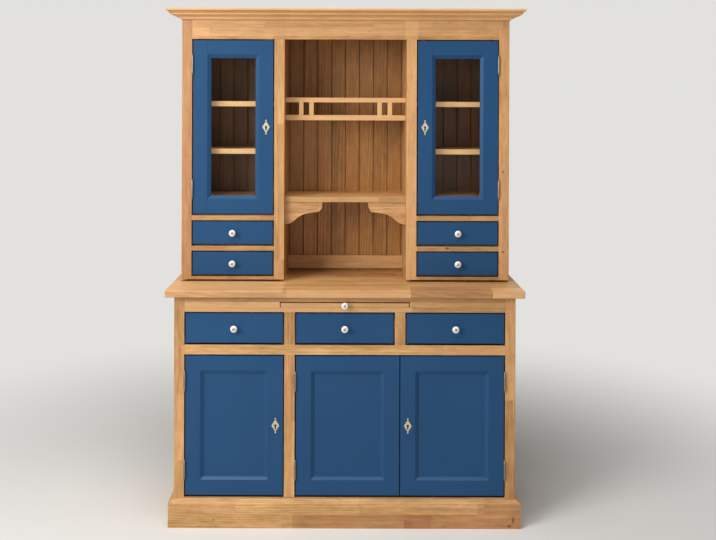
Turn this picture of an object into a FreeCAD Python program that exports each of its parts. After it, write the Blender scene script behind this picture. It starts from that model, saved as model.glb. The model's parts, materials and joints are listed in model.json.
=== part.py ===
import FreeCAD, Part
import math
import os
import re
import Sketcher

# A two-part oak buffet: a base with three drawers, a bread board and three doors, and on its worktop a hutch
# with two glazed towers, four small drawers and an open niche between them.
# Millimetres. +X is the right hand side seen from the front, the front faces -Y, the wall is at +Y, +Z is up.
# The origin is on the floor, in the middle of the worktop's depth and width.

# Driving dimensions, one cell of the sheet each.
SIZES = {
    # both cases
    "case_width": 1431.0,
    "side_thickness": 20.0,
    "partition_thickness": 20.0,
    "frame_thickness": 22.0,
    "back_thickness": 12.0,
    "back_board_pitch": 65.5,
    "back_board_bevel": 2.5,
    "tongue_thickness": 4.0,
    "tongue_length": 5.0,
    "tongue_slack": 0.5,
    "cut_overrun": 1.0,
    # worktop
    "worktop_depth": 520.0,
    "worktop_overhang": 34.5,
    "worktop_thickness": 30.0,
    "worktop_rounding": 4.0,
    # base case
    "base_height": 963.0,
    "base_stile": 43.0,
    "base_divider": 44.5,
    "base_top_rail": 66.0,
    "base_drawer_opening_height": 134.5,
    "base_middle_rail": 44.0,
    "floor_level": 125.0,
    "floor_thickness": 20.0,
    "base_shelf_level": 440.0,
    "base_shelf_setback": 60.0,
    "shelf_thickness": 23.0,
    "batten_size": 15.0,
    # plinth
    "plinth_height": 117.0,
    "plinth_thickness": 20.0,
    "plinth_bevel": 13.0,
    # hutch case
    "hutch_depth": 315.0,
    "hutch_stile": 44.0,
    "niche_stile": 44.5,
    "tower_opening_width": 360.0,
    "hutch_bottom_rail": 25.0,
    "hutch_drawer_opening_height": 109.0,
    "hutch_rail": 24.0,
    "dust_board_thickness": 18.0,
    "glazed_opening_height": 768.0,
    "frieze_reveal": 86.0,
    "top_thickness": 20.0,
    # shelves of the towers and the niche
    "niche_shelf_rise": 77.0,
    "niche_shelf_setback": 25.0,
    "tower_shelf_spacing": 210.0,
    "tower_shelf_setback": 30.0,
    "gallery_shelf_rise": 359.0,
    "gallery_setback": 80.0,
    "gallery_slat_height": 57.0,
    "gallery_slat_width": 20.0,
    "gallery_slat_inset": 69.5,
    "gallery_slat_spacing": 45.5,
    "gallery_rail_height": 21.0,
    "gallery_rail_thickness": 16.0,
    "bracket_length": 166.0,
    "bracket_height": 98.0,
    "bracket_thickness": 20.0,
    "bracket_setback": 5.0,
    "niche_rail_height": 69.0,
    "niche_rail_thickness": 12.0,
    # cornice
    "cornice_height": 44.0,
    "cornice_depth": 63.0,
    "cornice_lip": 2.0,
    "cornice_foot": 6.0,
    "cornice_foot_height": 12.0,
    "cornice_step": 4.0,
    "cornice_ovolo": 38.0,
    "cornice_ovolo_radius": 42.0,
    "cornice_ovolo_height": 21.0,
    "cornice_crown": 6.0,
    "cornice_crown_height": 8.0,
    "cornice_cove_radius": 6.0,
    # doors
    "door_gap": 4.6,
    "leaf_gap": 3.6,
    "door_stile": 63.0,
    "moulding_width": 16.0,
    "moulding_lip": 1.5,
    "panel_recess": 10.0,
    "panel_thickness": 10.0,
    "panel_tongue": 8.0,
    "glass_thickness": 4.0,
    "bead_width": 9.0,
    "door_stop_length": 30.0,
    "door_stop_drop": 8.0,
    "door_stop_size": 14.0,
    # knuckle hinges
    "hinge_inset": 107.0,
    "knuckle_radius": 4.2,
    "knuckle_length": 35.0,
    "knuckle_stand": 0.3,
    "knuckle_gap": 0.2,
    "knuckle_crown": 3.0,
    "hinge_pin_radius": 2.2,
    "hinge_pin_clearance": 0.05,
    "hinge_pin_headroom": 1.0,
    "hinge_leaf_thickness": 1.2,
    "hinge_leaf_depth": 18.0,
    "finial_height": 9.0,
    "finial_tip_radius": 1.4,
    # locks and their key plates
    "lock_width": 45.0,
    "lock_height": 60.0,
    "lock_depth": 12.0,
    "lock_inset": 2.0,
    "bolt_offset": 2.5,
    "bolt_thickness": 6.0,
    "bolt_height": 16.0,
    "bolt_length": 34.0,
    "bolt_clearance": 0.2,
    "key_bore_radius": 2.7,
    "plate_width": 33.0,
    "plate_height": 52.0,
    "plate_tip_drop": 2.6,
    "plate_thickness": 1.5,
    "plate_tip_radius": 3.4,
    "keyhole_radius": 4.0,
    "keyhole_slot_width": 4.5,
    "keyhole_slot_length": 12.0,
    # slide bolt of the middle leaf
    "leaf_bolt_radius": 4.0,
    "leaf_bolt_length": 92.0,
    "leaf_bolt_drop": 3.0,
    "leaf_bolt_stand": 6.5,
    "leaf_bolt_grip_radius": 3.0,
    "leaf_bolt_grip_length": 14.0,
    "strap_width": 22.0,
    "strap_height": 10.0,
    "strap_depth": 12.0,
    "strap_inset": 16.0,
    "strap_spacing": 48.0,
    # drawers
    "drawer_gap": 4.0,
    "drawer_front_bevel": 1.2,
    "drawer_side_thickness": 12.0,
    "drawer_play": 1.0,
    "drawer_ride": 0.3,
    "drawer_bottom_thickness": 6.0,
    "drawer_bottom_lift": 8.0,
    "drawer_bottom_tongue": 6.0,
    "base_drawer_space_behind": 51.5,
    "base_drawer_side_height": 108.0,
    "hutch_drawer_space_behind": 31.0,
    "hutch_drawer_side_height": 84.0,
    "runner_reach": 18.0,
    "runner_thickness": 15.0,
    "guide_height": 30.0,
    "stop_length": 14.0,
    "stop_height": 16.0,
    "stop_gap": 0.3,
    # porcelain knobs
    "knob_diameter": 33.0,
    "knob_height": 28.0,
    "knob_foot_diameter": 18.0,
    "knob_foot_height": 2.5,
    "knob_neck_diameter": 13.0,
    "knob_neck_height": 10.0,
    "knob_brim_height": 18.0,
    "knob_neck_radius": 9.0,
    "knob_under_radius": 12.0,
    # bread board and its guides
    "bread_slot_width": 546.0,
    "bread_slot_height": 23.0,
    "bread_slot_rise": 20.0,
    "bread_play": 0.5,
    "bread_side_gap": 1.5,
    "bread_headroom": 2.5,
    "bread_space_behind": 53.5,
    "bread_guide_width": 40.0,
    "bread_guide_lap": 28.0,
}

# Planes and widths worked out from the sizes.
PLACES = {
    "wall": "worktop_depth / 2",
    "boards_front": "wall - back_thickness",
    "case_edge": "case_width / 2",
    "case_inside": "case_edge - side_thickness",
    # base case, from the floor up
    "base_front": "worktop_overhang - worktop_depth / 2",
    "base_frame_back": "base_front + frame_thickness",
    "base_opening_edge": "case_edge - base_stile",
    "base_drawer_width": "(case_width - 2 * base_stile - 2 * base_divider) / 3",
    "divider_inner": "base_drawer_width / 2",
    "divider_outer": "divider_inner + base_divider",
    "divider_middle": "divider_inner + base_divider / 2",
    "base_partition_inner": "divider_middle - partition_thickness / 2",
    "base_partition_outer": "divider_middle + partition_thickness / 2",
    "base_drawer_high": "base_height - base_top_rail",
    "base_drawer_low": "base_drawer_high - base_drawer_opening_height",
    "base_door_high": "base_drawer_low - base_middle_rail",
    "bread_slot_low": "base_drawer_high + bread_slot_rise",
    "bread_slot_high": "bread_slot_low + bread_slot_height",
    "leaf_meeting": "(base_opening_edge - divider_inner) / 2",
    "base_drawer_length": "boards_front - base_drawer_space_behind - base_frame_back",
    "bread_length": "boards_front - bread_space_behind - base_front",
    # hutch, from the worktop up
    "worktop_top": "base_height + worktop_thickness",
    "hutch_front": "wall - hutch_depth",
    "hutch_frame_back": "hutch_front + frame_thickness",
    "tower_outer": "case_edge - hutch_stile",
    "tower_inner": "tower_outer - tower_opening_width",
    "niche_edge": "tower_inner - niche_stile",
    "tower_wall": "niche_edge + partition_thickness",
    "hutch_drawer_length": "boards_front - hutch_drawer_space_behind - hutch_frame_back",
    "low_drawer_low": "worktop_top + hutch_bottom_rail",
    "low_drawer_high": "low_drawer_low + hutch_drawer_opening_height",
    "high_drawer_low": "low_drawer_high + hutch_rail",
    "high_drawer_high": "high_drawer_low + hutch_drawer_opening_height",
    "glazed_low": "high_drawer_high + hutch_rail",
    "glazed_high": "glazed_low + glazed_opening_height",
    "cornice_low": "glazed_high + frieze_reveal",
    "cornice_high": "cornice_low + cornice_height",
    "hutch_top": "cornice_high - cornice_lip - top_thickness",
    "niche_shelf_top": "glazed_low + niche_shelf_rise",
    "niche_shelf_low": "niche_shelf_top - shelf_thickness",
    "gallery_shelf_top": "niche_shelf_top + gallery_shelf_rise",
    "gallery_front": "hutch_front + gallery_setback",
    "bracket_front": "hutch_front + niche_shelf_setback + bracket_setback",
    # domed head of a knob
    "knob_dome": "knob_height - knob_brim_height",
    "knob_dome_radius": "((knob_diameter / 2) ^ 2 + knob_dome ^ 2) / (2 * knob_dome)",
}

# Outline of a niche bracket from the wall to the nose, as shares of its length and height: where the belly at the
# wall turns into the cove, the end of the cove, the nose's lower corner and its end.
BRACKET_LENGTH_SHARES = (0.27, 0.59, 0.90)
BRACKET_RISE_SHARES = (0.18, 0.48, 0.56, 0.86)
BRACKET_BELLY_RADIUS_SHARE = 0.38
BRACKET_COVE_RADIUS_SHARE = 0.62
BRACKET_NOSE_RADIUS_SHARE = 0.24

UP = FreeCAD.Vector(0, 0, 1)
ACROSS = FreeCAD.Vector(1, 0, 0)
INWARDS = FreeCAD.Vector(0, 1, 0)
UPRIGHT = FreeCAD.Rotation()
TO_FRONT = FreeCAD.Rotation(ACROSS, 90)
TO_BACK = FreeCAD.Rotation(ACROSS, -90)
UPSIDE_DOWN = FreeCAD.Rotation(ACROSS, 180)
LEFT_TO_RIGHT = FreeCAD.Rotation(UP, -90)
# A moulding's length turned to run left to right, its width to stand up and its height to go inwards.
ALONG_FRONT = FreeCAD.Rotation(FreeCAD.Vector(1, 1, 1), 240)

doc = FreeCAD.newDocument("buffet_cabinet")
sheet = doc.addObject("Spreadsheet::Sheet", "Dims")
for row, (alias, size) in enumerate(SIZES.items(), start=1):
    sheet.set(f"A{row}", alias)
    sheet.set(f"B{row}", str(size))
    sheet.setAlias(f"B{row}", alias)
doc.recompute()

nodes = []


def cell(expression):
    """An expression in sizes and places, with each name written as the sheet's cells."""
    def written(match):
        name = match.group(0)
        return f"({cell(PLACES[name])})" if name in PLACES else f"Dims.{name}"
    return re.sub(r"[a-z][a-z_]+", written, expression)


def value(expression):
    """The number that an expression in sizes and places has now."""
    return float(sheet.evalExpression(cell(expression)))


def bind(item, **sizes):
    """Ties properties of an object to expressions."""
    for name, expression in sizes.items():
        item.setExpression(name, cell(expression))


def turned_about_y(quarters):
    """A turn by quarters about the axis that runs front to back."""
    return FreeCAD.Rotation(INWARDS, 90 * quarters)


def put(item, x, y, z, turned=UPRIGHT):
    """Turns an object and ties its place to three expressions."""
    item.Placement = FreeCAD.Placement(FreeCAD.Vector(), turned)
    for letter, expression in zip("xyz", (x, y, z)):
        item.setExpression(f"Placement.Base.{letter}", cell(expression))
    return item


def board(name, x, y, z):
    """A squared board between two places on each axis."""
    item = doc.addObject("Part::Box", name)
    for side, (low, high) in zip(("Length", "Width", "Height"), (x, y, z)):
        item.setExpression(side, cell(f"{high} - ({low})"))
    return put(item, x[0], y[0], z[0])


def rod(name, x, y, z, radius, length, turned=UPRIGHT):
    """A round rod that starts at a place and stands up from it, or lies towards the front or the back."""
    item = doc.addObject("Part::Cylinder", name)
    bind(item, Radius=radius, Height=length)
    return put(item, x, y, z, turned)


def cut(name, base, *tools):
    """A piece with one or more tools taken out of it."""
    for tool in tools:
        item = doc.addObject("Part::Cut", name)
        item.Base = base
        item.Tool = tool
        base = item
    return base


def fuse(name, *pieces):
    """Several primitives made into one piece."""
    item = doc.addObject("Part::MultiFuse", name)
    item.Shapes = list(pieces)
    return item


def mirror(name, piece):
    """The same piece on the other side of the cabinet's middle plane."""
    item = doc.addObject("Part::Mirroring", name)
    item.Source = piece
    item.Normal = ACROSS
    return item


def node(name, *pieces):
    """Names one sub-part, which holds one or more separate solids."""
    item = pieces[0]
    if len(pieces) > 1:
        item = doc.addObject("Part::Compound", name)
        item.Links = list(pieces)
    item.Label = name
    nodes.append(item)
    return item


def from_edge(edge, away, near, far):
    """Low and high place of a stretch that starts near and ends far from an edge, towards + or -."""
    if away == "+":
        return f"{edge} + ({near})", f"{edge} + ({far})"
    return f"{edge} - ({far})", f"{edge} - ({near})"


def on_side(side, near, far):
    """Low and high place of a stretch between two distances from the middle plane, on one side of it."""
    return from_edge("0", "+" if side == "right" else "-", near, far)


def arc_between(start, end, radius, bend):
    """The short arc from one point to another that bends left or right on its way."""
    chord = end - start
    side = FreeCAD.Vector(-chord.y, chord.x, 0).normalize()
    reach = math.sqrt(max(radius ** 2 - (chord.Length / 2) ** 2, 0))
    middle = (start + end) / 2 + side * (reach if bend == "left" else -reach)
    ends = (start, end) if bend == "left" else (end, start)
    angles = [math.atan2(point.y - middle.y, point.x - middle.x) for point in ends]
    if angles[1] < angles[0]:
        angles[1] += 2 * math.pi
    return Part.ArcOfCircle(Part.Circle(middle, UP, radius), *angles)


def pin_point(sketch, stretch, end, corner):
    """Holds one end of a stretch at the place that two expressions give."""
    for kind, axis, expression in (("DistanceX", -2, corner[0]), ("DistanceY", -1, corner[1])):
        place = value(expression)
        if expression == "0":
            sketch.addConstraint(Sketcher.Constraint("PointOnObject", stretch, end, axis))
        elif place > 0:
            held = sketch.addConstraint(Sketcher.Constraint(kind, -1, 1, stretch, end, place))
            sketch.setExpression(f"Constraints[{held}]", cell(expression))
        else:
            held = sketch.addConstraint(Sketcher.Constraint(kind, stretch, end, -1, 1, -place))
            sketch.setExpression(f"Constraints[{held}]", cell(f"-({expression})"))


def outline(sketch, corners):
    """Closes an outline through corners. A corner with a radius and a bend ends a stretch that is an arc.

    An arc that ends on the upright axis is centred on it, as on a turned piece.
    """
    points = [FreeCAD.Vector(value(corner[0]), value(corner[1]), 0) for corner in corners]
    ends = []
    for index, corner in enumerate(corners):
        start, end = points[index - 1], points[index]
        if len(corner) == 2:
            stretch = sketch.addGeometry(Part.LineSegment(start, end))
            ends.append((stretch, 1, 2))
        else:
            stretch = sketch.addGeometry(arc_between(start, end, value(corner[2]), corner[3]))
            ends.append((stretch, 1, 2) if corner[3] == "left" else (stretch, 2, 1))
    for index, corner in enumerate(corners):
        stretch, first, last = ends[index]
        following, start, _ = ends[(index + 1) % len(corners)]
        sketch.addConstraint(Sketcher.Constraint("Coincident", stretch, last, following, start))
        pin_point(sketch, stretch, last, corner)
        if len(corner) > 2 and corner[0] == "0":
            sketch.addConstraint(Sketcher.Constraint("PointOnObject", stretch, 3, -2))
        elif len(corner) > 2:
            held = sketch.addConstraint(Sketcher.Constraint("Radius", stretch, value(corner[2])))
            sketch.setExpression(f"Constraints[{held}]", cell(corner[2]))


def body_sketch(body, plane, corners):
    """A sketch of one closed outline on one of a body's own planes."""
    sketch = body.newObject("Sketcher::SketchObject", f"{body.Name}_outline")
    support = [item for item in body.Origin.OriginFeatures if item.Role == plane]
    sketch.AttachmentSupport = [(support[0], "")]
    sketch.MapMode = "FlatFace"
    outline(sketch, corners)
    return sketch


def padded_body(name, plane, corners, length, backwards=False):
    """A body whose outline on a plane is padded to a length."""
    body = doc.addObject("PartDesign::Body", name)
    pad = body.newObject("PartDesign::Pad", f"{name}_pad")
    pad.Profile = body_sketch(body, plane, corners)
    pad.Reversed = backwards
    bind(pad, Length=length)
    return body


def edges_at(shape, test):
    """Names of the edges whose middle passes a test."""
    return [f"Edge{number}" for number, edge in enumerate(shape.Edges, start=1) if test(edge.CenterOfMass)]


def mitred_moulding(name, corners, length, reach, mitres, longest="0"):
    """A moulding of one section along its length, its ends mitred where it meets the next one.

    The section stands out along +X and up along +Z, and the moulding runs along +Y. It is longest at its back
    inside a frame, and at its full reach round a case.
    """
    body = padded_body(name, "XZ_Plane", corners, length, backwards=True)
    shortest = reach if longest == "0" else "0"
    for end in mitres:
        corner, inner = ("0", reach) if end == "near" else (length, f"{length} - {reach}")
        pocket = body.newObject("PartDesign::Pocket", f"{name}_mitre")
        pocket.Profile = body_sketch(body, "XY_Plane", [("0", corner), (reach, corner), (shortest, inner)])
        pocket.Type = "ThroughAll"
        pocket.Reversed = True
    return body


def mouldings_round(name, corners, front, low, reach):
    """Three mouldings of one section round the front and both ends of a case, mitred at its front corners."""
    front_length, end_length = f"case_width + 2 * {reach}", f"wall - {front} + {reach}"
    long_side = mitred_moulding(f"{name}_front", corners, front_length, reach, ("near", "far"), longest=reach)
    put(long_side, f"-case_edge - {reach}", front, low, LEFT_TO_RIGHT)
    right_end = mitred_moulding(f"{name}_end", corners, end_length, reach, ("near",), longest=reach)
    put(right_end, "case_edge", f"{front} - {reach}", low)
    return long_side, right_end, mirror(f"{name}_mirrored_end", right_end)


# Plinth: a bevelled skirting outside the case.
def make_plinth():
    section = [
        ("0", "0"),
        ("plinth_thickness", "0"),
        ("plinth_thickness", "plinth_height - plinth_bevel"),
        ("0", "plinth_height"),
    ]
    node("plinth", *mouldings_round("skirting", section, "base_front", "0", "plinth_thickness"))


# Cornice: from its foot up a fillet, an ovolo, a cove and a crown fillet.
def make_cornice():
    ovolo_start = "cornice_foot + cornice_step"
    ovolo_end = f"{ovolo_start} + cornice_ovolo"
    ovolo_top = "cornice_foot_height + cornice_ovolo_height"
    crown_low = "cornice_height - cornice_crown_height"
    section = [
        ("0", "0"),
        ("cornice_foot", "0"),
        ("cornice_foot", "cornice_foot_height"),
        (ovolo_start, "cornice_foot_height"),
        (ovolo_end, ovolo_top, "cornice_ovolo_radius", "left"),
        (f"{ovolo_end} + cornice_step", ovolo_top),
        ("cornice_depth - cornice_crown", crown_low, "cornice_cove_radius", "right"),
        ("cornice_depth", crown_low),
        ("cornice_depth", "cornice_height"),
        ("0", "cornice_height"),
    ]
    node("cornice", *mouldings_round("crown", section, "hutch_front", "cornice_low", "cornice_depth"))


# Worktop: one glued oak slab with a rounded front edge and rounded ends.
def make_worktop():
    width = "case_width + 2 * worktop_overhang"
    corners = [("0", "0"), (width, "0"), (width, "worktop_depth"), ("0", "worktop_depth")]
    body = padded_body("worktop", "XY_Plane", corners, "worktop_thickness")
    doc.recompute()
    slab = body.Tip
    rear = value("worktop_depth - worktop_thickness")
    fillet = body.newObject("PartDesign::Fillet", "worktop_edge")
    fillet.Base = (slab, edges_at(slab.Shape, lambda place: place.y < rear))
    bind(fillet, Radius="worktop_rounding")
    put(body, "-case_edge - worktop_overhang", "-worktop_depth / 2", "base_height")
    node("worktop", body)


# Back of a case: tongued boards with bevelled joints, spaced from the middle and trimmed at the sides.
def board_section(name, width, grooved, tongued):
    """Section of one back board, its front at y 0."""
    tongue_front = "(back_thickness - tongue_thickness) / 2"
    tongue_back = f"{tongue_front} + tongue_thickness"
    corners = [("back_board_bevel", "0"), (f"{width} - back_board_bevel", "0"), (width, "back_board_bevel")]
    if tongued:
        tip = f"{width} + tongue_length"
        corners += [(width, tongue_front), (tip, tongue_front), (tip, tongue_back), (width, tongue_back)]
    corners += [(width, "back_thickness"), ("0", "back_thickness")]
    if grooved:
        depth = "tongue_length + tongue_slack"
        corners += [("0", tongue_back), (depth, tongue_back), (depth, tongue_front), ("0", tongue_front)]
    corners += [("0", "back_board_bevel")]
    sketch = doc.addObject("Sketcher::SketchObject", name)
    outline(sketch, corners)
    return sketch


def make_back_boards():
    half = math.ceil(value("case_inside / back_board_pitch"))
    trimmed = f"case_inside - {half - 1} * back_board_pitch"
    first = board_section("first_board_section", trimmed, False, True)
    common = board_section("board_section", "back_board_pitch", True, True)
    last = board_section("last_board_section", trimmed, True, False)
    for name, low, high in (
        ("base_back_boards", "floor_level - floor_thickness", "base_height"),
        ("hutch_back_boards", "worktop_top", "hutch_top"),
    ):
        boards = []
        for place in range(-half, half):
            section = first if place == -half else last if place == half - 1 else common
            plank = doc.addObject("Part::Extrusion", f"{name}_plank")
            plank.Base = section
            plank.DirMode = "Normal"
            plank.Solid = True
            bind(plank, LengthFwd=f"{high} - ({low})")
            left = "-case_inside" if place == -half else f"{place} * back_board_pitch"
            boards.append(put(plank, left, "boards_front", low))
        node(name, *boards)


# Carcass of the base, behind its face frame.
def make_base_case():
    inside = ("-case_inside", "case_inside")
    depth = ("base_frame_back", "wall")
    clear_depth = ("base_frame_back", "boards_front")
    sides = [
        board(f"{side}_base_side", on_side(side, "case_inside", "case_edge"), depth, ("0", "base_height"))
        for side in ("left", "right")
    ]
    node("base_side_panels", *sides)
    floor_low = "floor_level - floor_thickness"
    node(
        "base_floor_and_partition",
        board("base_floor", inside, clear_depth, (floor_low, "floor_level")),
        board(
            "base_partition",
            on_side("left", "base_partition_inner", "base_partition_outer"),
            clear_depth,
            ("floor_level", "base_drawer_high"),
        ),
    )
    shelf_depth = ("base_frame_back + base_shelf_setback", "boards_front")
    shelf_height = ("base_shelf_level - shelf_thickness", "base_shelf_level")
    batten_height = (f"{shelf_height[0]} - batten_size", shelf_height[0])
    pieces = []
    for name, low, high in (
        ("narrow", "-case_inside", "-base_partition_outer"),
        ("wide", "-base_partition_inner", "case_inside"),
    ):
        pieces.append(board(f"{name}_shelf", (low, high), shelf_depth, shelf_height))
        for edge, away in ((low, "+"), (high, "-")):
            across = from_edge(edge, away, "0", "batten_size")
            pieces.append(board(f"{name}_shelf_batten", across, shelf_depth, batten_height))
    node("base_shelves", *pieces)


# Face frame of the base. The top rail is built up round the slot of the bread board.
def make_base_frame():
    depth = ("base_front", "base_frame_back")
    opening = ("-base_opening_edge", "base_opening_edge")
    half_slot = "bread_slot_width / 2"
    pieces = [
        board("base_bottom_rail", opening, depth, ("floor_level - floor_thickness", "floor_level")),
        board("base_middle_rail", opening, depth, ("base_door_high", "base_drawer_low")),
        board("top_rail_lower_strip", opening, depth, ("base_drawer_high", "bread_slot_low")),
        board("top_rail_upper_strip", opening, depth, ("bread_slot_high", "base_height")),
        board(
            "door_mullion",
            on_side("left", "divider_inner", "divider_outer"),
            depth,
            ("floor_level", "base_door_high"),
        ),
    ]
    for side in ("left", "right"):
        stile = on_side(side, "base_opening_edge", "case_edge")
        pieces.append(board(f"{side}_base_stile", stile, depth, ("0", "base_height")))
        filler = on_side(side, half_slot, "base_opening_edge")
        pieces.append(board(f"{side}_slot_filler", filler, depth, ("bread_slot_low", "bread_slot_high")))
        divider = on_side(side, "divider_inner", "divider_outer")
        opening_height = ("base_drawer_low", "base_drawer_high")
        pieces.append(board(f"{side}_drawer_divider", divider, depth, opening_height))
    stop_depth = from_edge("base_frame_back", "+", "stop_gap", "stop_gap + door_stop_size")
    stop_height = ("base_door_high - door_stop_drop", "base_door_high + door_stop_size")
    for edge, away in (("-divider_outer", "-"), ("base_opening_edge / 2", "+")):
        across = from_edge(edge, away, "door_stop_size", "door_stop_size + door_stop_length")
        pieces.append(board("base_door_stop", across, stop_depth, stop_height))
    node("base_face_frame", *pieces)


# Runners under the drawer sides, guides beside them and stops behind them.
def make_runners():
    pieces = []
    depth = ("base_frame_back", "boards_front")
    runner_height = ("base_drawer_low - runner_thickness", "base_drawer_low")
    guide_height = ("base_drawer_low", "base_drawer_low + guide_height")
    stop_depth = from_edge("base_frame_back + base_drawer_length", "+", "stop_gap", "stop_gap + stop_length")
    stop_height = ("base_drawer_low", "base_drawer_low + stop_height")
    carriers = (
        ("outer_left", "-case_inside", "-base_opening_edge", "0", "runner_reach"),
        ("partition_left", "-divider_outer", "-base_partition_outer", "runner_reach", "0"),
        ("partition_right", "-base_partition_inner", "-divider_inner", "0", "runner_reach"),
        ("divider", "divider_inner", "divider_outer", "runner_reach", "runner_reach"),
        ("outer_right", "base_opening_edge", "case_inside", "runner_reach", "0"),
    )
    for name, low, high, reach_low, reach_high in carriers:
        under = (f"{low} - {reach_low}", f"{high} + {reach_high}")
        pieces.append(board(f"{name}_runner", under, depth, runner_height))
        pieces.append(board(f"{name}_guide", (low, high), depth, guide_height))
        for edge, away, reach in ((low, "-", reach_low), (high, "+", reach_high)):
            if reach != "0":
                across = from_edge(edge, away, "0", reach)
                pieces.append(board(f"{name}_stop", across, stop_depth, stop_height))
    pieces += bread_guides()
    pieces += tower_guides()
    node("drawer_runners", *pieces)


def bread_guides():
    """A bearer, a fence and a kicker on each side of the bread board, hung under the worktop."""
    pieces = []
    half_slot = "bread_slot_width / 2"
    depth = ("base_frame_back", "base_frame_back + bread_length")
    levels = (
        ("bread_bearer", "-bread_guide_lap", ("base_drawer_high", "bread_slot_low")),
        ("bread_fence", "0", ("bread_slot_low", "bread_slot_high")),
        ("bread_kicker", "-bread_guide_lap", ("bread_slot_high", "base_height")),
    )
    for side in ("left", "right"):
        for name, near, height in levels:
            across = on_side(side, f"{half_slot} + ({near})", f"{half_slot} + bread_guide_width")
            pieces.append(board(name, across, depth, height))
    return pieces


def tower_guides():
    """Side guides and stops of the small drawers, on the dust boards of the towers."""
    pieces = []
    depth = ("hutch_frame_back", "boards_front")
    drawer_back = "hutch_frame_back + hutch_drawer_length"
    stop_depth = from_edge(drawer_back, "+", "stop_gap", "stop_gap + stop_length")
    for side in ("left", "right"):
        for low in ("low_drawer_low", "high_drawer_low"):
            height = (low, f"{low} + guide_height")
            inner = on_side(side, "tower_wall", "tower_inner")
            outer = on_side(side, "tower_outer", "case_inside")
            pieces.append(board("inner_guide", inner, depth, height))
            pieces.append(board("outer_guide", outer, depth, height))
            stop = on_side(side, "tower_inner", "tower_outer")
            pieces.append(board("tower_stop", stop, stop_depth, (low, f"{low} + stop_height")))
    return pieces


# Carcass of the hutch.
def make_hutch_case():
    height = ("worktop_top", "hutch_top")
    pieces = []
    for side in ("left", "right"):
        outer = on_side(side, "case_inside", "case_edge")
        pieces.append(board(f"{side}_hutch_side", outer, ("hutch_frame_back", "wall"), height))
        inner = on_side(side, "niche_edge", "tower_wall")
        pieces.append(board(f"{side}_tower_wall", inner, ("hutch_frame_back", "boards_front"), height))
    across = ("-case_edge", "case_edge")
    height = ("hutch_top", "hutch_top + top_thickness")
    pieces.append(board("hutch_top_panel", across, ("hutch_front", "wall"), height))
    node("hutch_case", *pieces)


def make_hutch_shelves():
    pieces = []
    full_depth = ("hutch_frame_back", "boards_front")
    shelf_depth = ("hutch_frame_back + tower_shelf_setback", "boards_front")
    dust_tops = ("low_drawer_low", "high_drawer_low", "glazed_low")
    shelf_tops = [f"niche_shelf_top + {step} * tower_shelf_spacing" for step in range(3)]
    for side in ("left", "right"):
        across = on_side(side, "tower_wall", "case_inside")
        for top in dust_tops:
            height = (f"{top} - dust_board_thickness", top)
            pieces.append(board(f"{side}_dust_board", across, full_depth, height))
        for top in shelf_tops:
            height = (f"{top} - shelf_thickness", top)
            pieces.append(board(f"{side}_tower_shelf", across, shelf_depth, height))
    node("tower_shelves", *pieces)
    across = ("-niche_edge", "niche_edge")
    niche_depth = ("hutch_front + niche_shelf_setback", "boards_front")
    gallery_depth = ("gallery_front", "boards_front")
    gallery_low = "gallery_shelf_top - shelf_thickness"
    node(
        "niche_shelves",
        board("niche_board", across, niche_depth, ("niche_shelf_low", "niche_shelf_top")),
        board("gallery_board", across, gallery_depth, (gallery_low, "gallery_shelf_top")),
    )


# Rails of the niche: a low one along the gallery shelf, on two flat slats at each end, and one on the worktop's
# back edge in front of the back boards.
def make_niche_rails():
    depth = ("gallery_front", "gallery_front + gallery_rail_thickness")
    rail_low = "gallery_shelf_top + gallery_slat_height"
    rail_height = (rail_low, f"{rail_low} + gallery_rail_height")
    pieces = [board("gallery_top_rail", ("-niche_edge", "niche_edge"), depth, rail_height)]
    for side in ("left", "right"):
        for step in range(2):
            middle = f"niche_edge - gallery_slat_inset - {step} * gallery_slat_spacing"
            across = on_side(side, f"{middle} - gallery_slat_width / 2", f"{middle} + gallery_slat_width / 2")
            pieces.append(board("gallery_slat", across, depth, ("gallery_shelf_top", rail_low)))
    across = ("-niche_edge", "niche_edge")
    depth = ("boards_front - niche_rail_thickness", "boards_front")
    height = ("worktop_top", "worktop_top + niche_rail_height")
    pieces.append(board("niche_back_rail", across, depth, height))
    node("niche_rails", *pieces)


# Brackets under the niche shelf: a belly at the wall, a cove, and a nose with a rounded end.
def make_brackets():
    lengths = [f"bracket_length * {share}" for share in BRACKET_LENGTH_SHARES]
    rises = [f"bracket_height * {share}" for share in BRACKET_RISE_SHARES]
    corners = [
        ("0", "0"),
        (lengths[0], rises[0], f"bracket_length * {BRACKET_BELLY_RADIUS_SHARE}", "left"),
        (lengths[1], rises[1], f"bracket_length * {BRACKET_COVE_RADIUS_SHARE}", "right"),
        (lengths[2], rises[2]),
        ("bracket_length", rises[3], f"bracket_length * {BRACKET_NOSE_RADIUS_SHARE}", "left"),
        ("bracket_length", "bracket_height"),
        ("0", "bracket_height"),
    ]
    left = padded_body("left_bracket", "XZ_Plane", corners, "bracket_thickness", backwards=True)
    put(left, "-niche_edge", "bracket_front", "niche_shelf_low - bracket_height")
    node("niche_brackets", left, mirror("right_bracket", left))


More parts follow.
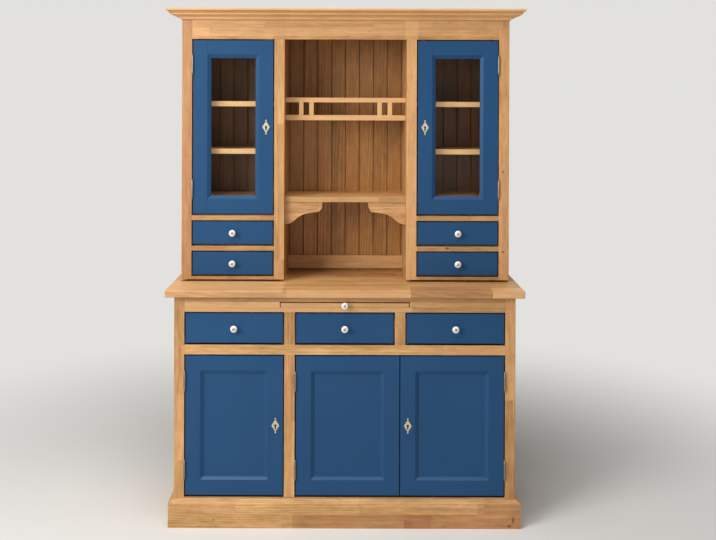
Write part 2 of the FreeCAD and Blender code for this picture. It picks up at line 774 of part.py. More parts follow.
# Face frame of the hutch.
def make_hutch_frame():
    depth = ("hutch_front", "hutch_frame_back")
    frieze = ("glazed_high", "hutch_top")
    pieces = [board("frieze", ("-tower_outer", "tower_outer"), depth, frieze)]
    rails = (
        ("worktop_top", "low_drawer_low"),
        ("low_drawer_high", "high_drawer_low"),
        ("high_drawer_high", "glazed_low"),
    )
    stop_depth = from_edge("hutch_frame_back", "+", "stop_gap", "stop_gap + door_stop_size")
    stop_height = ("glazed_high - door_stop_drop", "glazed_high + door_stop_size")
    for side in ("left", "right"):
        outer = on_side(side, "tower_outer", "case_edge")
        pieces.append(board(f"{side}_hutch_stile", outer, depth, ("worktop_top", "hutch_top")))
        inner = on_side(side, "niche_edge", "tower_inner")
        pieces.append(board(f"{side}_niche_stile", inner, depth, ("worktop_top", "glazed_high")))
        opening = on_side(side, "tower_inner", "tower_outer")
        for height in rails:
            pieces.append(board(f"{side}_tower_rail", opening, depth, height))
        near = "tower_inner + door_stop_size"
        stop = on_side(side, near, f"{near} + door_stop_length")
        pieces.append(board(f"{side}_glazed_door_stop", stop, stop_depth, stop_height))
    node("hutch_face_frame", *pieces)


# Knuckle hinge: the carcass half carries the pin, the door half turns on it and lifts off.
def hinge(name, edge, away, front, middle):
    """Both halves of one hinge. The edge is the frame's, the door lies on the away side of the gap."""
    across = f"{edge} {away} door_gap / 2"
    axis_y = f"{front} - knuckle_stand - knuckle_radius"
    low, high = f"{middle} - knuckle_length", f"{middle} + knuckle_length"
    leaf_depth = (front, f"{front} + hinge_leaf_depth")
    tab_depth = (axis_y, front)
    lower = (low, f"{middle} - knuckle_gap / 2")
    upper = (f"{middle} + knuckle_gap / 2", high)
    fixed_leaf = from_edge(edge, away, "0", "hinge_leaf_thickness")
    door_leaf = from_edge(edge, away, "door_gap - hinge_leaf_thickness", "door_gap")

    def half(side, leaf, height):
        length = f"{height[1]} - ({height[0]})"
        return [
            board(f"{name}_{side}_leaf", leaf, leaf_depth, (low, high)),
            board(f"{name}_{side}_tab", leaf, tab_depth, height),
            rod(f"{name}_{side}_knuckle", across, axis_y, height[0], "knuckle_radius", length),
        ]

    def finial(side, place, turned):
        item = doc.addObject("Part::Cone", f"{name}_{side}_finial")
        bind(item, Radius1="knuckle_radius", Radius2="finial_tip_radius", Height="finial_height")
        return put(item, across, axis_y, place, turned)

    pin_top = f"{high} - knuckle_crown - hinge_pin_headroom"
    pin = rod(f"{name}_pin", across, axis_y, low, "hinge_pin_radius", f"{pin_top} - ({low})")
    bore = rod(
        f"{name}_bore",
        across,
        axis_y,
        middle,
        "hinge_pin_radius + hinge_pin_clearance",
        f"{high} - knuckle_crown - ({middle})",
    )
    lower_tip, upper_tip = finial("lower", low, UPSIDE_DOWN), finial("upper", high, UPRIGHT)
    fixed = fuse(f"{name}_carcass_half", *half("carcass", fixed_leaf, lower), pin, lower_tip)
    solid_half = fuse(f"{name}_solid_half", *half("door", door_leaf, upper), upper_tip)
    return fixed, cut(f"{name}_door_half", solid_half, bore)


# Rim lock on the inner face of a door, with its sliding bolt and the lozenge key plate outside.
def lock(name, edge, inward, front, middle):
    """Case, bolt and key plate. The edge is the door's, inward is the way into the door."""
    back = f"{front} + frame_thickness"
    across = from_edge(edge, inward, "lock_inset", "lock_inset + lock_width")
    height = (f"{middle} - lock_height / 2", f"{middle} + lock_height / 2")
    block = board(f"{name}_lock_block", across, (back, f"{back} + lock_depth"), height)
    bolt_depth = (f"{back} + bolt_offset", f"{back} + bolt_offset + bolt_thickness")
    bolt_height = (f"{middle} - bolt_height / 2", f"{middle} + bolt_height / 2")
    bolt_across = from_edge(edge, inward, "lock_inset", "lock_inset + bolt_length")
    channel_depth = (f"{bolt_depth[0]} - bolt_clearance", f"{bolt_depth[1]} + bolt_clearance")
    channel_height = (f"{bolt_height[0]} - bolt_clearance", f"{bolt_height[1]} + bolt_clearance")
    channel_end = "lock_inset + bolt_length + bolt_clearance"
    channel_across = from_edge(edge, inward, "lock_inset - cut_overrun", channel_end)
    channel = board(f"{name}_lock_channel", channel_across, channel_depth, channel_height)
    bolt = board(f"{name}_bolt", bolt_across, bolt_depth, bolt_height)
    key_x = f"{edge} {inward} door_stile / 2"
    plate = key_plate(name, key_x, front, middle)
    return cut(f"{name}_lock_case", block, channel), bolt, plate


def key_plate(name, key_x, front, middle):
    """A lozenge of sheet metal with a round tip at each corner above and below, and a keyhole."""
    half_width, half_height = "plate_width / 2", "plate_height / 2"
    tip_height = f"{half_height} + plate_tip_drop"
    corners = [("0", f"-{half_height}"), (half_width, "0"), ("0", half_height), (f"-{half_width}", "0")]
    sheet_body = padded_body(f"{name}_lozenge", "XZ_Plane", corners, "plate_thickness")
    put(sheet_body, key_x, front, middle)
    tips = [
        rod(f"{name}_tip", key_x, front, f"{middle} {sign} ({tip_height})", "plate_tip_radius",
            "plate_thickness", TO_FRONT)
        for sign in "+-"
    ]
    tool_length = "plate_thickness + 2 * cut_overrun"
    hole = rod(f"{name}_keyhole", key_x, f"{front} + cut_overrun", middle, "keyhole_radius", tool_length,
               TO_FRONT)
    slot = board(
        f"{name}_keyhole_slot",
        (f"{key_x} - keyhole_slot_width / 2", f"{key_x} + keyhole_slot_width / 2"),
        (f"{front} - plate_thickness - cut_overrun", f"{front} + cut_overrun"),
        (f"{middle} - keyhole_slot_length", middle),
    )
    return cut(f"{name}_key_plate", fuse(f"{name}_plate_blank", sheet_body, *tips), hole, slot)


# Door frames: two stiles, two rails and a bevelled moulding round the panel or the glass.
def panel_mouldings(name, x, z, front, depth):
    """Four mitred lengths round an opening, highest at the frame and sloping down to what it holds."""
    section = [("0", "0"), ("moulding_lip", "0"), ("moulding_width", depth), ("0", depth)]
    width, height = f"{x[1]} - ({x[0]})", f"{z[1]} - ({z[0]})"
    lengths = []
    for turn, (corner_x, corner_z, length) in enumerate((
        (x[0], z[0], width),
        (x[1], z[0], height),
        (x[1], z[1], width),
        (x[0], z[1], height),
    )):
        piece = mitred_moulding(name, section, length, "moulding_width", ("near", "far"))
        lengths.append(put(piece, corner_x, front, corner_z, turned=turned_about_y(-turn) * ALONG_FRONT))
    return lengths


def square_beads(name, x, y, z):
    """Plain beads round the back of the glass."""
    beads = []
    for low, high in ((z[0], f"{z[0]} + bead_width"), (f"{z[1]} - bead_width", z[1])):
        beads.append(board(f"{name}_level_bead", x, y, (low, high)))
    upright = (f"{z[0]} + bead_width", f"{z[1]} - bead_width")
    for low, high in ((x[0], f"{x[0]} + bead_width"), (f"{x[1]} - bead_width", x[1])):
        beads.append(board(f"{name}_upright_bead", (low, high), y, upright))
    return beads


def door(name, x, z, front, hinge_side, lock_side=None, glazed=False):
    """One door between two places on X and Z, hung on its left or right edge and locked on the other."""
    back = f"{front} + frame_thickness"
    inner_x = (f"{x[0]} + door_stile", f"{x[1]} - door_stile")
    inner_z = (f"{z[0]} + door_stile", f"{z[1]} - door_stile")
    middle = f"({z[0]} + {z[1]}) / 2"
    held_front = f"{front} + panel_recess"
    stiles = {
        "left": board(f"{name}_left_stile", (x[0], inner_x[0]), (front, back), z),
        "right": board(f"{name}_right_stile", (inner_x[1], x[1]), (front, back), z),
    }
    rails = [
        board(f"{name}_bottom_rail", inner_x, (front, back), (z[0], inner_z[0])),
        board(f"{name}_top_rail", inner_x, (front, back), (inner_z[1], z[1])),
    ]
    lip_front = f"{front} + moulding_lip"
    ring = panel_mouldings(f"{name}_moulding", inner_x, inner_z, lip_front, "panel_recess - moulding_lip")
    if lock_side:
        key_x = f"{x[1]} - door_stile / 2" if lock_side == "right" else f"{x[0]} + door_stile / 2"
        key_bore = rod(f"{name}_key_bore", key_x, f"{back} + cut_overrun", middle, "key_bore_radius",
                       "frame_thickness + 2 * cut_overrun", TO_FRONT)
        stiles[lock_side] = cut(f"{name}_lock_stile", stiles[lock_side], key_bore)
    wood = [*stiles.values(), *rails]
    if glazed:
        glass = board(f"{name}_pane", inner_x, (held_front, f"{held_front} + glass_thickness"), inner_z)
        bead_depth = (f"{held_front} + glass_thickness", back)
        beads = square_beads(name, inner_x, bead_depth, inner_z)
        node(f"{name}_frame", *wood, *ring, *beads)
        node(f"{name}_glass", glass)
    else:
        tongue_x = (f"{inner_x[0]} - panel_tongue", f"{inner_x[1]} + panel_tongue")
        tongue_z = (f"{inner_z[0]} - panel_tongue", f"{inner_z[1]} + panel_tongue")
        panel = board(f"{name}_field", tongue_x, (held_front, f"{held_front} + panel_thickness"), tongue_z)
        grooved = [cut(f"{piece.Name}_grooved", piece, panel) for piece in wood]
        node(f"{name}_frame", *grooved, *ring)
        node(f"{name}_panel", panel)
    edge, away = (f"{x[0]} - door_gap", "+") if hinge_side == "left" else (f"{x[1]} + door_gap", "-")
    heights = (f"{z[0]} + hinge_inset", f"{z[1]} - hinge_inset")
    halves = [hinge(f"{name}_hinge", edge, away, front, height) for height in heights]
    carcass_hinges.extend(fixed for fixed, _ in halves)
    fittings = [moving for _, moving in halves]
    if lock_side:
        edge, inward = (x[1], "-") if lock_side == "right" else (x[0], "+")
        case, bolt, plate = lock(name, edge, inward, front, middle)
        fittings += [case, plate]
        node(f"{name}_lock_bolt", bolt)
    else:
        straps, bolt = leaf_bolt(name, f"{x[1]} - door_stile / 2", back, z[1])
        fittings += straps
        node(f"{name}_slide_bolt", bolt)
    node(f"{name}_fittings", *fittings)


def leaf_bolt(name, across, back, top):
    """A round bolt that slides up in two straps behind the middle rail. Its grip rests on the lower strap."""
    axis_y = f"{back} + leaf_bolt_stand"
    bolt_low = f"{top} - leaf_bolt_drop - leaf_bolt_length"
    shank = rod(f"{name}_shank", across, axis_y, bolt_low, "leaf_bolt_radius", "leaf_bolt_length")
    lower_strap_top = f"{top} - strap_inset - strap_spacing"
    grip_z = f"{lower_strap_top} + leaf_bolt_grip_radius + bolt_clearance"
    grip = rod(f"{name}_grip", across, axis_y, grip_z, "leaf_bolt_grip_radius", "leaf_bolt_grip_length", TO_BACK)
    straps = []
    for step in range(2):
        low = f"{top} - strap_inset - strap_height - {step} * strap_spacing"
        width = (f"{across} - strap_width / 2", f"{across} + strap_width / 2")
        depth = (back, f"{back} + strap_depth")
        block = board(f"{name}_strap_block", width, depth, (low, f"{low} + strap_height"))
        hole = rod(f"{name}_strap_hole", across, axis_y, f"{low} - cut_overrun",
                   "leaf_bolt_radius + bolt_clearance", "strap_height + 2 * cut_overrun")
        straps.append(cut(f"{name}_strap", block, hole))
    return straps, fuse(f"{name}_bolt", shank, grip)


carcass_hinges = []


def make_doors():
    base_z = ("floor_level + door_gap", "base_door_high - door_gap")
    glazed_z = ("glazed_low + door_gap", "glazed_high - door_gap")
    door("left_door", ("-base_opening_edge + door_gap", "-divider_outer - door_gap"), base_z, "base_front",
         "left", lock_side="right")
    door("middle_door", ("-divider_inner + door_gap", "leaf_meeting - leaf_gap / 2"), base_z, "base_front",
         "left")
    door("right_door", ("leaf_meeting + leaf_gap / 2", "base_opening_edge - door_gap"), base_z, "base_front",
         "right", lock_side="left")
    for side, other in (("left", "right"), ("right", "left")):
        across = on_side(side, "tower_inner + door_gap", "tower_outer - door_gap")
        door(f"{side}_glazed_door", across, glazed_z, "hutch_front", side, lock_side=other, glazed=True)
    node("carcass_hinge_halves", *carcass_hinges)


# Porcelain knob, turned: a foot, a waisted neck and a domed head.
def knob(name, x, front, z):
    foot, neck = "knob_foot_diameter / 2", "knob_neck_diameter / 2"
    corners = [
        ("0", "0"),
        (foot, "0"),
        (foot, "knob_foot_height"),
        (neck, "knob_neck_height", "knob_neck_radius", "right"),
        ("knob_diameter / 2", "knob_brim_height", "knob_under_radius", "left"),
        ("0", "knob_height", "knob_dome_radius", "left"),
    ]
    body = doc.addObject("PartDesign::Body", name)
    turned = body.newObject("PartDesign::Revolution", f"{name}_turned")
    turned.Profile = body_sketch(body, "XZ_Plane", corners)
    turned.ReferenceAxis = (turned.Profile[0], ["V_Axis"])
    node(name, put(body, x, front, z, TO_FRONT))


# Drawer: a plain front with a small bevel, on a box with grooved sides that hold the bottom.
def drawer_front(name, x, z, front):
    width, height = f"{x[1]} - ({x[0]})", f"{z[1]} - ({z[0]})"
    corners = [("0", "0"), (width, "0"), (width, height), ("0", height)]
    body = padded_body(f"{name}_slab", "XZ_Plane", corners, "frame_thickness", backwards=True)
    doc.recompute()
    slab = body.Tip
    bevel = value("drawer_front_bevel")
    chamfer = body.newObject("PartDesign::Chamfer", f"{name}_bevel")
    chamfer.Base = (slab, edges_at(slab.Shape, lambda place: place.y < bevel))
    bind(chamfer, Size="drawer_front_bevel")
    return put(body, x[0], front, z[0])


def drawer(name, x, z, front, length, side_height):
    """One drawer in an opening between two places on X and Z."""
    back = f"{front} + frame_thickness"
    face_x = (f"{x[0]} + drawer_gap", f"{x[1]} - drawer_gap")
    face_z = (f"{z[0]} + drawer_gap", f"{z[1]} - drawer_gap")
    node(f"{name}_front", drawer_front(name, face_x, face_z, front))
    box_x = (f"{x[0]} + drawer_play", f"{x[1]} - drawer_play")
    box_y = (back, f"{back} + {length}")
    box_z = (f"{z[0]} + drawer_ride", f"{z[0]} + drawer_ride + {side_height}")
    inner_x = (f"{box_x[0]} + drawer_side_thickness", f"{box_x[1]} - drawer_side_thickness")
    bottom_low = f"{box_z[0]} + drawer_bottom_lift"
    bottom_z = (bottom_low, f"{bottom_low} + drawer_bottom_thickness")
    bottom_x = (f"{inner_x[0]} - drawer_bottom_tongue", f"{inner_x[1]} + drawer_bottom_tongue")
    bottom = board(f"{name}_bottom", bottom_x, box_y, bottom_z)
    back_y = (f"{box_y[1]} - drawer_side_thickness", box_y[1])
    pieces = [
        cut(f"{name}_left_side", board(f"{name}_left_blank", (box_x[0], inner_x[0]), box_y, box_z), bottom),
        cut(f"{name}_right_side", board(f"{name}_right_blank", (inner_x[1], box_x[1]), box_y, box_z), bottom),
        board(f"{name}_back", inner_x, back_y, (bottom_z[1], box_z[1])),
        bottom,
    ]
    node(f"{name}_box", *pieces)
    knob(f"{name}_knob", f"({x[0]} + {x[1]}) / 2", front, f"({z[0]} + {z[1]}) / 2")


def make_drawers():
    openings = (
        ("left_drawer", "-base_opening_edge", "-divider_outer"),
        ("middle_drawer", "-divider_inner", "divider_inner"),
        ("right_drawer", "divider_outer", "base_opening_edge"),
    )
    for name, low, high in openings:
        drawer(name, (low, high), ("base_drawer_low", "base_drawer_high"), "base_front",
               "base_drawer_length", "base_drawer_side_height")
    for side in ("left", "right"):
        across = on_side(side, "tower_inner", "tower_outer")
        for level, height in (
            ("upper", ("high_drawer_low", "high_drawer_high")),
            ("lower", ("low_drawer_low", "low_drawer_high")),
        ):
            drawer(f"{side}_{level}_small_drawer", across, height, "hutch_front",
                   "hutch_drawer_length", "hutch_drawer_side_height")


# Bread board: slides in its slot under the worktop, flush with the rail when it is in.
def make_bread_board():
    half = "bread_slot_width / 2 - bread_side_gap"
    height = ("bread_slot_low + bread_play", "bread_slot_high - bread_headroom")
    depth = ("base_front", "base_front + bread_length")
    node("bread_board", board("bread_slab", (f"-({half})", half), depth, height))
    knob("bread_board_knob", "0", "base_front", f"({height[0]} + {height[1]}) / 2")


make_plinth()
make_base_case()
make_base_frame()
make_runners()
make_worktop()
make_hutch_case()
make_hutch_shelves()
make_hutch_frame()
make_niche_rails()
make_brackets()
make_cornice()
make_back_boards()
make_doors()
make_drawers()
make_bread_board()
doc.recompute()

# Nothing is written before every object and every sub-part is sound.
for item in doc.Objects:
    if {"Invalid", "Error"} & set(item.State):
        raise RuntimeError(f"{item.Name} did not build: {item.State}")
for item in nodes:
    if item.Shape.isNull() or not item.Shape.isValid() or not item.Shape.Solids:
        raise RuntimeError(f"{item.Label} has no sound shape")

os.makedirs("parts", exist_ok=True)
for item in nodes:
    item.Shape.exportStep(f"parts/{item.Label}.step")
print(f"{len(nodes)} sub-parts, {sum(len(item.Shape.Solids) for item in nodes)} solids")
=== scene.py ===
# %% [markdown]
# # An oak buffet with painted doors
# The buffet is a base cupboard with a hutch on its worktop. The CAD model already gives each board, door and drawer
# its true size, place and motion. What is still missing is what a hand and an eye would notice: eased edges, grain,
# glued staves, satin paint, glazed knobs and worn metal. This lesson adds them piece by piece.

# %% Load the frame
import json
import math
import random

import bpy
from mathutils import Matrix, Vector
from mathutils.bvhtree import BVHTree

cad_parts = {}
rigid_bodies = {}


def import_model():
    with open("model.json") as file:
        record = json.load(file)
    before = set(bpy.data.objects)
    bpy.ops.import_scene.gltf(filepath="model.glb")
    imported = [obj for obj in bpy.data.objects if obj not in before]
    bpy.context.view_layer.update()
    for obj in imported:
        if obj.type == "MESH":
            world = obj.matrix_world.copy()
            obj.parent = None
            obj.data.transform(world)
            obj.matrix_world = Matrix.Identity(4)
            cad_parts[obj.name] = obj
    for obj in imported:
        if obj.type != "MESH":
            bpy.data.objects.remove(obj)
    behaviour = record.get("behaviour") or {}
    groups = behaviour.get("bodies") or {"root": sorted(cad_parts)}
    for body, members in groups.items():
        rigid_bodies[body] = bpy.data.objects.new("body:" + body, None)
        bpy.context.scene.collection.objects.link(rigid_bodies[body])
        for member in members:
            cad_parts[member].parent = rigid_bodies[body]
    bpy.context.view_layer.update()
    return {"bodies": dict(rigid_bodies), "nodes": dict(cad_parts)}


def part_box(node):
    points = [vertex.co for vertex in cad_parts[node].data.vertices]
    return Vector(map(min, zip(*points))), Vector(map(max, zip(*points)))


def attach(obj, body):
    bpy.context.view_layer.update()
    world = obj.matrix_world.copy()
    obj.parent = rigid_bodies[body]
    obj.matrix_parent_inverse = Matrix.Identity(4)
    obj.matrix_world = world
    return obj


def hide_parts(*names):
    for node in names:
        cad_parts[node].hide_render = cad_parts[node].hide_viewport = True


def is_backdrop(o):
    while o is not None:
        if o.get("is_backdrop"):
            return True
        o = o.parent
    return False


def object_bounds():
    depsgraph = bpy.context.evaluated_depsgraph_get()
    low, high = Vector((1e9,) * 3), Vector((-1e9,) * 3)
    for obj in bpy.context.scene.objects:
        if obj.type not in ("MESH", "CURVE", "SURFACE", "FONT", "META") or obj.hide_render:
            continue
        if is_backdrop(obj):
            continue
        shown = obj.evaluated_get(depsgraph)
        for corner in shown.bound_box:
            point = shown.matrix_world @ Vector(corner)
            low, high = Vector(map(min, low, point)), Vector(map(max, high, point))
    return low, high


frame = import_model()

# %% [markdown]
# Each node hangs on a body, and each new piece must ride on the body of what it belongs to. A small table from node
# to body saves looking it up again.

# %% Which body carries which node
body_of = {
    node: body
    for body, empty in frame["bodies"].items()
    for node, thing in frame["nodes"].items()
    if thing.parent is empty
}
print("nodes with a body:", len(body_of))

# %% [markdown]
# The picture was taken by a camera held level at eye height, and the upright edges stay upright in it. A level
# camera with a shifted lens does the same: tilting it would make the uprights lean together. The numbers come from
# the edges of the worktop and the plinth, which both lie square to the camera.

# %% Camera
PICTURE_WIDTH, PICTURE_HEIGHT = 716, 540
FOCAL_PIXELS = 939
AXIS_COLUMN, HORIZON_ROW = 345.6, 104
EYE_HEIGHT, EYE_DISTANCE = 1.77, 4.16
ROLL = math.radians(-0.19)
SENSOR_WIDTH = 36
ROOM_SIZE = 60
QUARTER = math.pi / 2

bpy.ops.object.camera_add(location=(0, -EYE_DISTANCE, EYE_HEIGHT))
camera = bpy.context.object
camera.rotation_euler = (QUARTER, ROLL, 0)
camera.data.sensor_width = SENSOR_WIDTH
camera.data.lens = FOCAL_PIXELS / PICTURE_WIDTH * SENSOR_WIDTH
camera.data.shift_x = (PICTURE_WIDTH / 2 - AXIS_COLUMN) / PICTURE_WIDTH
camera.data.shift_y = (HORIZON_ROW - PICTURE_HEIGHT / 2) / PICTURE_WIDTH
camera.data.clip_end = ROOM_SIZE
bpy.context.scene.camera = camera
print("lens:", round(camera.data.lens, 2), "mm")

# %% [markdown]
# Furniture is photographed in soft daylight from one side, in a room with a white ceiling and a pale floor. A large
# lamp high at the left is the window. A weak one overhead and a weak one low in front stand for what ceiling and
# floor throw back. The left end is then a little lighter than the right end, and the recesses go dark.

# %% Lamps
def soft_lamp(name, place, target, size, watts):
    """A square lamp at a place, turned to a target."""
    bpy.ops.object.light_add(type="AREA", location=place)
    lamp = bpy.context.object
    lamp.name = name
    lamp.data.size = size
    lamp.data.energy = watts
    lamp.rotation_euler = (Vector(target) - Vector(place)).to_track_quat("-Z", "Y").to_euler()


LAMPS = [
    ("window_light", (-2.9, -2.9, 2.5), (0, -0.1, 0.9), 2.2, 150),
    ("ceiling_light", (-0.2, -1.5, 4.6), (0, -0.4, 0), 2.4, 96),
    ("floor_light", (0.1, -3.7, 0.35), (0, 0, 1.6), 2.0, 15),
]
for lamp in LAMPS:
    soft_lamp(*lamp)
print("lamps:", len(LAMPS))

# %% [markdown]
# Shader trees are wired in code, so a few helpers keep that short. One sets a socket to a number or links it to
# another socket. Another adds a node, and a row of them reads like the formula that it stands for.

# %% Helpers for shader nodes
def wire(tree, socket, value):
    """Sets a socket to a value, or links it when the value is a socket."""
    if isinstance(value, bpy.types.NodeSocket):
        tree.links.new(value, socket)
    else:
        socket.default_value = value


def add(tree, kind, inputs=None, **settings):
    """A new node with its settings and its inputs, by name or by number."""
    node = tree.nodes.new("ShaderNode" + kind)
    for name, value in settings.items():
        setattr(node, name, value)
    for name, value in (inputs or {}).items():
        wire(tree, node.inputs[name], value)
    return node


def maths(tree, operation, *values, clamp=False):
    """One step of arithmetic."""
    node = add(tree, "Math", dict(enumerate(values)), operation=operation, use_clamp=clamp)
    return node.outputs[0]


def vectors(tree, operation, *values):
    """One step of arithmetic with vectors."""
    outputs = add(tree, "VectorMath", dict(enumerate(values)), operation=operation).outputs
    return outputs["Value" if operation == "LENGTH" else "Vector"]


def scaled(tree, value, factor, added, clamp=False):
    """A value times a factor, plus something."""
    return maths(tree, "MULTIPLY_ADD", value, factor, added, clamp=clamp)


def ramp(tree, value, start, end, low=0.0, high=1.0, kind="SMOOTHSTEP"):
    """A value mapped from one range to another, with soft ends."""
    inputs = {0: value, 1: start, 2: end, 3: low, 4: high}
    return add(tree, "MapRange", inputs, interpolation_type=kind).outputs[0]


def noise(tree, place, scale, detail=2.0, roughness=0.5):
    """Cloudy noise; the scale is one number, or one for each axis."""
    if isinstance(scale, tuple):
        place = vectors(tree, "MULTIPLY", place, scale)
        scale = 1.0
    inputs = {"Vector": place, "Scale": scale, "Detail": detail, "Roughness": roughness}
    return add(tree, "TexNoise", inputs).outputs["Fac"]


def blend_colours(tree, share, first, second, mode="MIX"):
    """Two colours mixed by a share."""
    node = add(tree, "Mix", {0: share, 6: first, 7: second}, data_type="RGBA", blend_type=mode)
    return node.outputs[2]


# %% Helpers for groups and materials
def new_group(name, inputs, outputs):
    """An empty shader group; a socket is a Float, Color or Vector, and an input may start with a value."""
    tree = bpy.data.node_groups.new(name, "ShaderNodeTree")
    for socket, kind, *start in inputs:
        made = tree.interface.new_socket(socket, in_out="INPUT", socket_type="NodeSocket" + kind)
        if start:
            made.default_value = start[0]
    for socket, kind in outputs:
        tree.interface.new_socket(socket, in_out="OUTPUT", socket_type="NodeSocket" + kind)
    return tree, tree.nodes.new("NodeGroupInput").outputs, tree.nodes.new("NodeGroupOutput").inputs


def place_group(tree, group, **inputs):
    """A group placed in a material with its own values."""
    node = tree.nodes.new("ShaderNodeGroup")
    node.node_tree = group
    for name, value in inputs.items():
        wire(tree, node.inputs[name.replace("_", " ")], value)
    return node.outputs


def seen(red, green, blue):
    """A colour as the eye reads it, 0 to 255, turned into the linear values of a shader."""
    return tuple(((c / 255 + 0.055) / 1.055) ** 2.4 for c in (red, green, blue)) + (1.0,)


def new_material(name, **constants):
    """A material with its Principled shader; the constants go on the shader's own sockets."""
    material = bpy.data.materials.new(name)
    material.use_nodes = True
    shader = material.node_tree.nodes["Principled BSDF"]
    for socket, value in constants.items():
        shader.inputs[socket.replace("_", " ")].default_value = value
    return material, material.node_tree, shader


def bump(tree, shader, height, strength, distance):
    """Turns a height into the shader's normal."""
    inputs = {"Height": height, "Strength": strength, "Distance": distance}
    wire(tree, shader.inputs["Normal"], add(tree, "Bump", inputs).outputs[0])


print("a mid grey is", round(seen(128, 128, 128)[0], 3), "in linear values")

# %% [markdown]
# The boards are glued up from oak staves, about 50 mm wide and up to 600 mm long. Each stave is cut from another
# tree, so its tone and its rings are its own. A picture of wood would repeat, and it would not follow the boards.
# So the grain is worked out from each board's own place: x along the grain, y across it, z through it. White noise
# picks a tone for each stave, most of them pale and a few brown.

# %% Oak staves: which stave, and how near its edge
STAVE = 0.05

staves, given, result = new_group(
    "oak_staves",
    [
        ("Place", "Vector"),
        ("Stave Length", "Float", 0.62),
        ("Pale", "Color"),
        ("Deep", "Color"),
        ("Spread", "Float", 0.36),
        ("Figure", "Float", 0.2),
    ],
    [("Color", "Color"), ("Height", "Float"), ("Rings", "Float")],
)
along, across, through = add(staves, "SeparateXYZ", {0: given["Place"]}).outputs
row = maths(staves, "FLOOR", maths(staves, "DIVIDE", across, STAVE))
row_chance = add(staves, "TexWhiteNoise", {"W": row}, noise_dimensions="1D").outputs["Value"]
length = maths(staves, "MULTIPLY", given["Stave Length"], scaled(staves, row_chance, 0.6, 0.7))
lengths = maths(staves, "ADD", maths(staves, "DIVIDE", along, length), maths(staves, "MULTIPLY", row_chance, 17.0))
cell = add(staves, "CombineXYZ", {0: row, 1: maths(staves, "FLOOR", lengths), 2: 3.0}).outputs[0]
chance = add(staves, "TexWhiteNoise", {"Vector": cell}, noise_dimensions="3D")
tone = chance.outputs["Value"]
chance_a, chance_b, chance_c = add(staves, "SeparateXYZ", {0: chance.outputs["Color"]}).outputs

side = maths(staves, "PINGPONG", across, STAVE)
edge_side = maths(staves, "MINIMUM", side, maths(staves, "SUBTRACT", STAVE, side))
end = maths(staves, "MULTIPLY", maths(staves, "FRACT", lengths), length)
edge_end = maths(staves, "MINIMUM", end, maths(staves, "SUBTRACT", length, end))
seam = ramp(staves, maths(staves, "MINIMUM", edge_side, edge_end), 0.0002, 0.0009, 1.0, 0.0)

# %% [markdown]
# Rings round an axis that lies beside the stave give straight grain on one face and arches on the next, as sawing
# does. Long thin noise makes the streaks, and finer noise makes the pores that oak is known for.

# %% Oak staves: rings, streaks and pores
middle = maths(staves, "SUBTRACT", across, scaled(staves, row, STAVE, STAVE / 2))
lean = maths(staves, "MULTIPLY", along, scaled(staves, chance_c, 0.08, -0.04))
beside = scaled(staves, chance_a, 0.12, -0.06)
ring_y = maths(staves, "ADD", middle, maths(staves, "ADD", lean, beside))
ring_z = maths(staves, "ADD", through, scaled(staves, chance_b, 0.07, 0.015))
ring_x = scaled(staves, along, 0.10, maths(staves, "MULTIPLY", tone, 9.0))
wave = {"Vector": add(staves, "CombineXYZ", {0: ring_x, 1: ring_y, 2: ring_z}).outputs[0]}
wave |= {"Scale": 62.0, "Distortion": 3.5, "Detail": 3.0, "Detail Scale": 0.9, "Detail Roughness": 0.6}
rings = add(staves, "TexWave", wave, wave_type="RINGS", rings_direction="X").outputs["Fac"]

shifted = vectors(staves, "ADD", given["Place"], chance.outputs["Color"])
streaks = noise(staves, shifted, (4, 130, 130), 5.0, 0.62)
mottle = noise(staves, shifted, (15, 70, 70), 3.0, 0.6)
cloud = noise(staves, shifted, (3.5, 16, 16), 2.0)
pores = ramp(staves, noise(staves, shifted, (30, 900, 900)), 0.54, 0.72)

# %% Oak staves: colour and height
depth = scaled(staves, maths(staves, "POWER", tone, 1.8), given["Spread"], -1.21)
for pattern, strength in ((streaks, 0.85), (mottle, 1.0), (cloud, 1.15)):
    depth = scaled(staves, pattern, strength, depth)
depth = scaled(staves, depth, 1.0, 0.0, clamp=True)
wood = blend_colours(staves, depth, given["Pale"], given["Deep"])
turn = scaled(staves, chance_b, 0.010, scaled(staves, cloud, 0.024, 0.483))
wood = add(staves, "HueSaturation", {"Hue": turn, "Color": wood}).outputs[0]
dark = maths(staves, "MULTIPLY", rings, given["Figure"])
dark = scaled(staves, pores, 0.14, dark)
dark = scaled(staves, seam, 0.16, dark)
shade = maths(staves, "SUBTRACT", 1.0, dark, clamp=True)
shade = add(staves, "CombineColor", {0: shade, 1: shade, 2: shade}).outputs[0]
wire(staves, result["Color"], blend_colours(staves, 1.0, wood, shade, "MULTIPLY"))
hollows = maths(staves, "ADD", pores, seam)
wire(staves, result["Height"], maths(staves, "SUBTRACT", maths(staves, "MULTIPLY", rings, 0.4), hollows))
wire(staves, result["Rings"], rings)
print("oak_staves has", len(staves.nodes), "nodes")

# %% [markdown]
# Some staves of the real piece stand out: a brown one low in the plinth, a pale end on the worktop. They are marked by
# boxes in the object's own coordinates. Boxes of the same kind also lay painted light and painted shade where the lamps
# give too little or too much. Knots are small brown eyes in a darker halo, at known places too.

# %% Patches and knots, as shader groups
patch, given, result = new_group(
    "patch", [("Position", "Vector"), ("Low", "Vector"), ("High", "Vector")], [("Mask", "Float")]
)
above = vectors(patch, "SUBTRACT", given["Position"], given["Low"])
below = vectors(patch, "SUBTRACT", given["High"], given["Position"])
room = add(patch, "SeparateXYZ", {0: vectors(patch, "MINIMUM", above, below)}).outputs
inside = maths(patch, "MINIMUM", room[0], maths(patch, "MINIMUM", room[1], room[2]))
wire(patch, result["Mask"], ramp(patch, inside, 0.0, 0.0006))

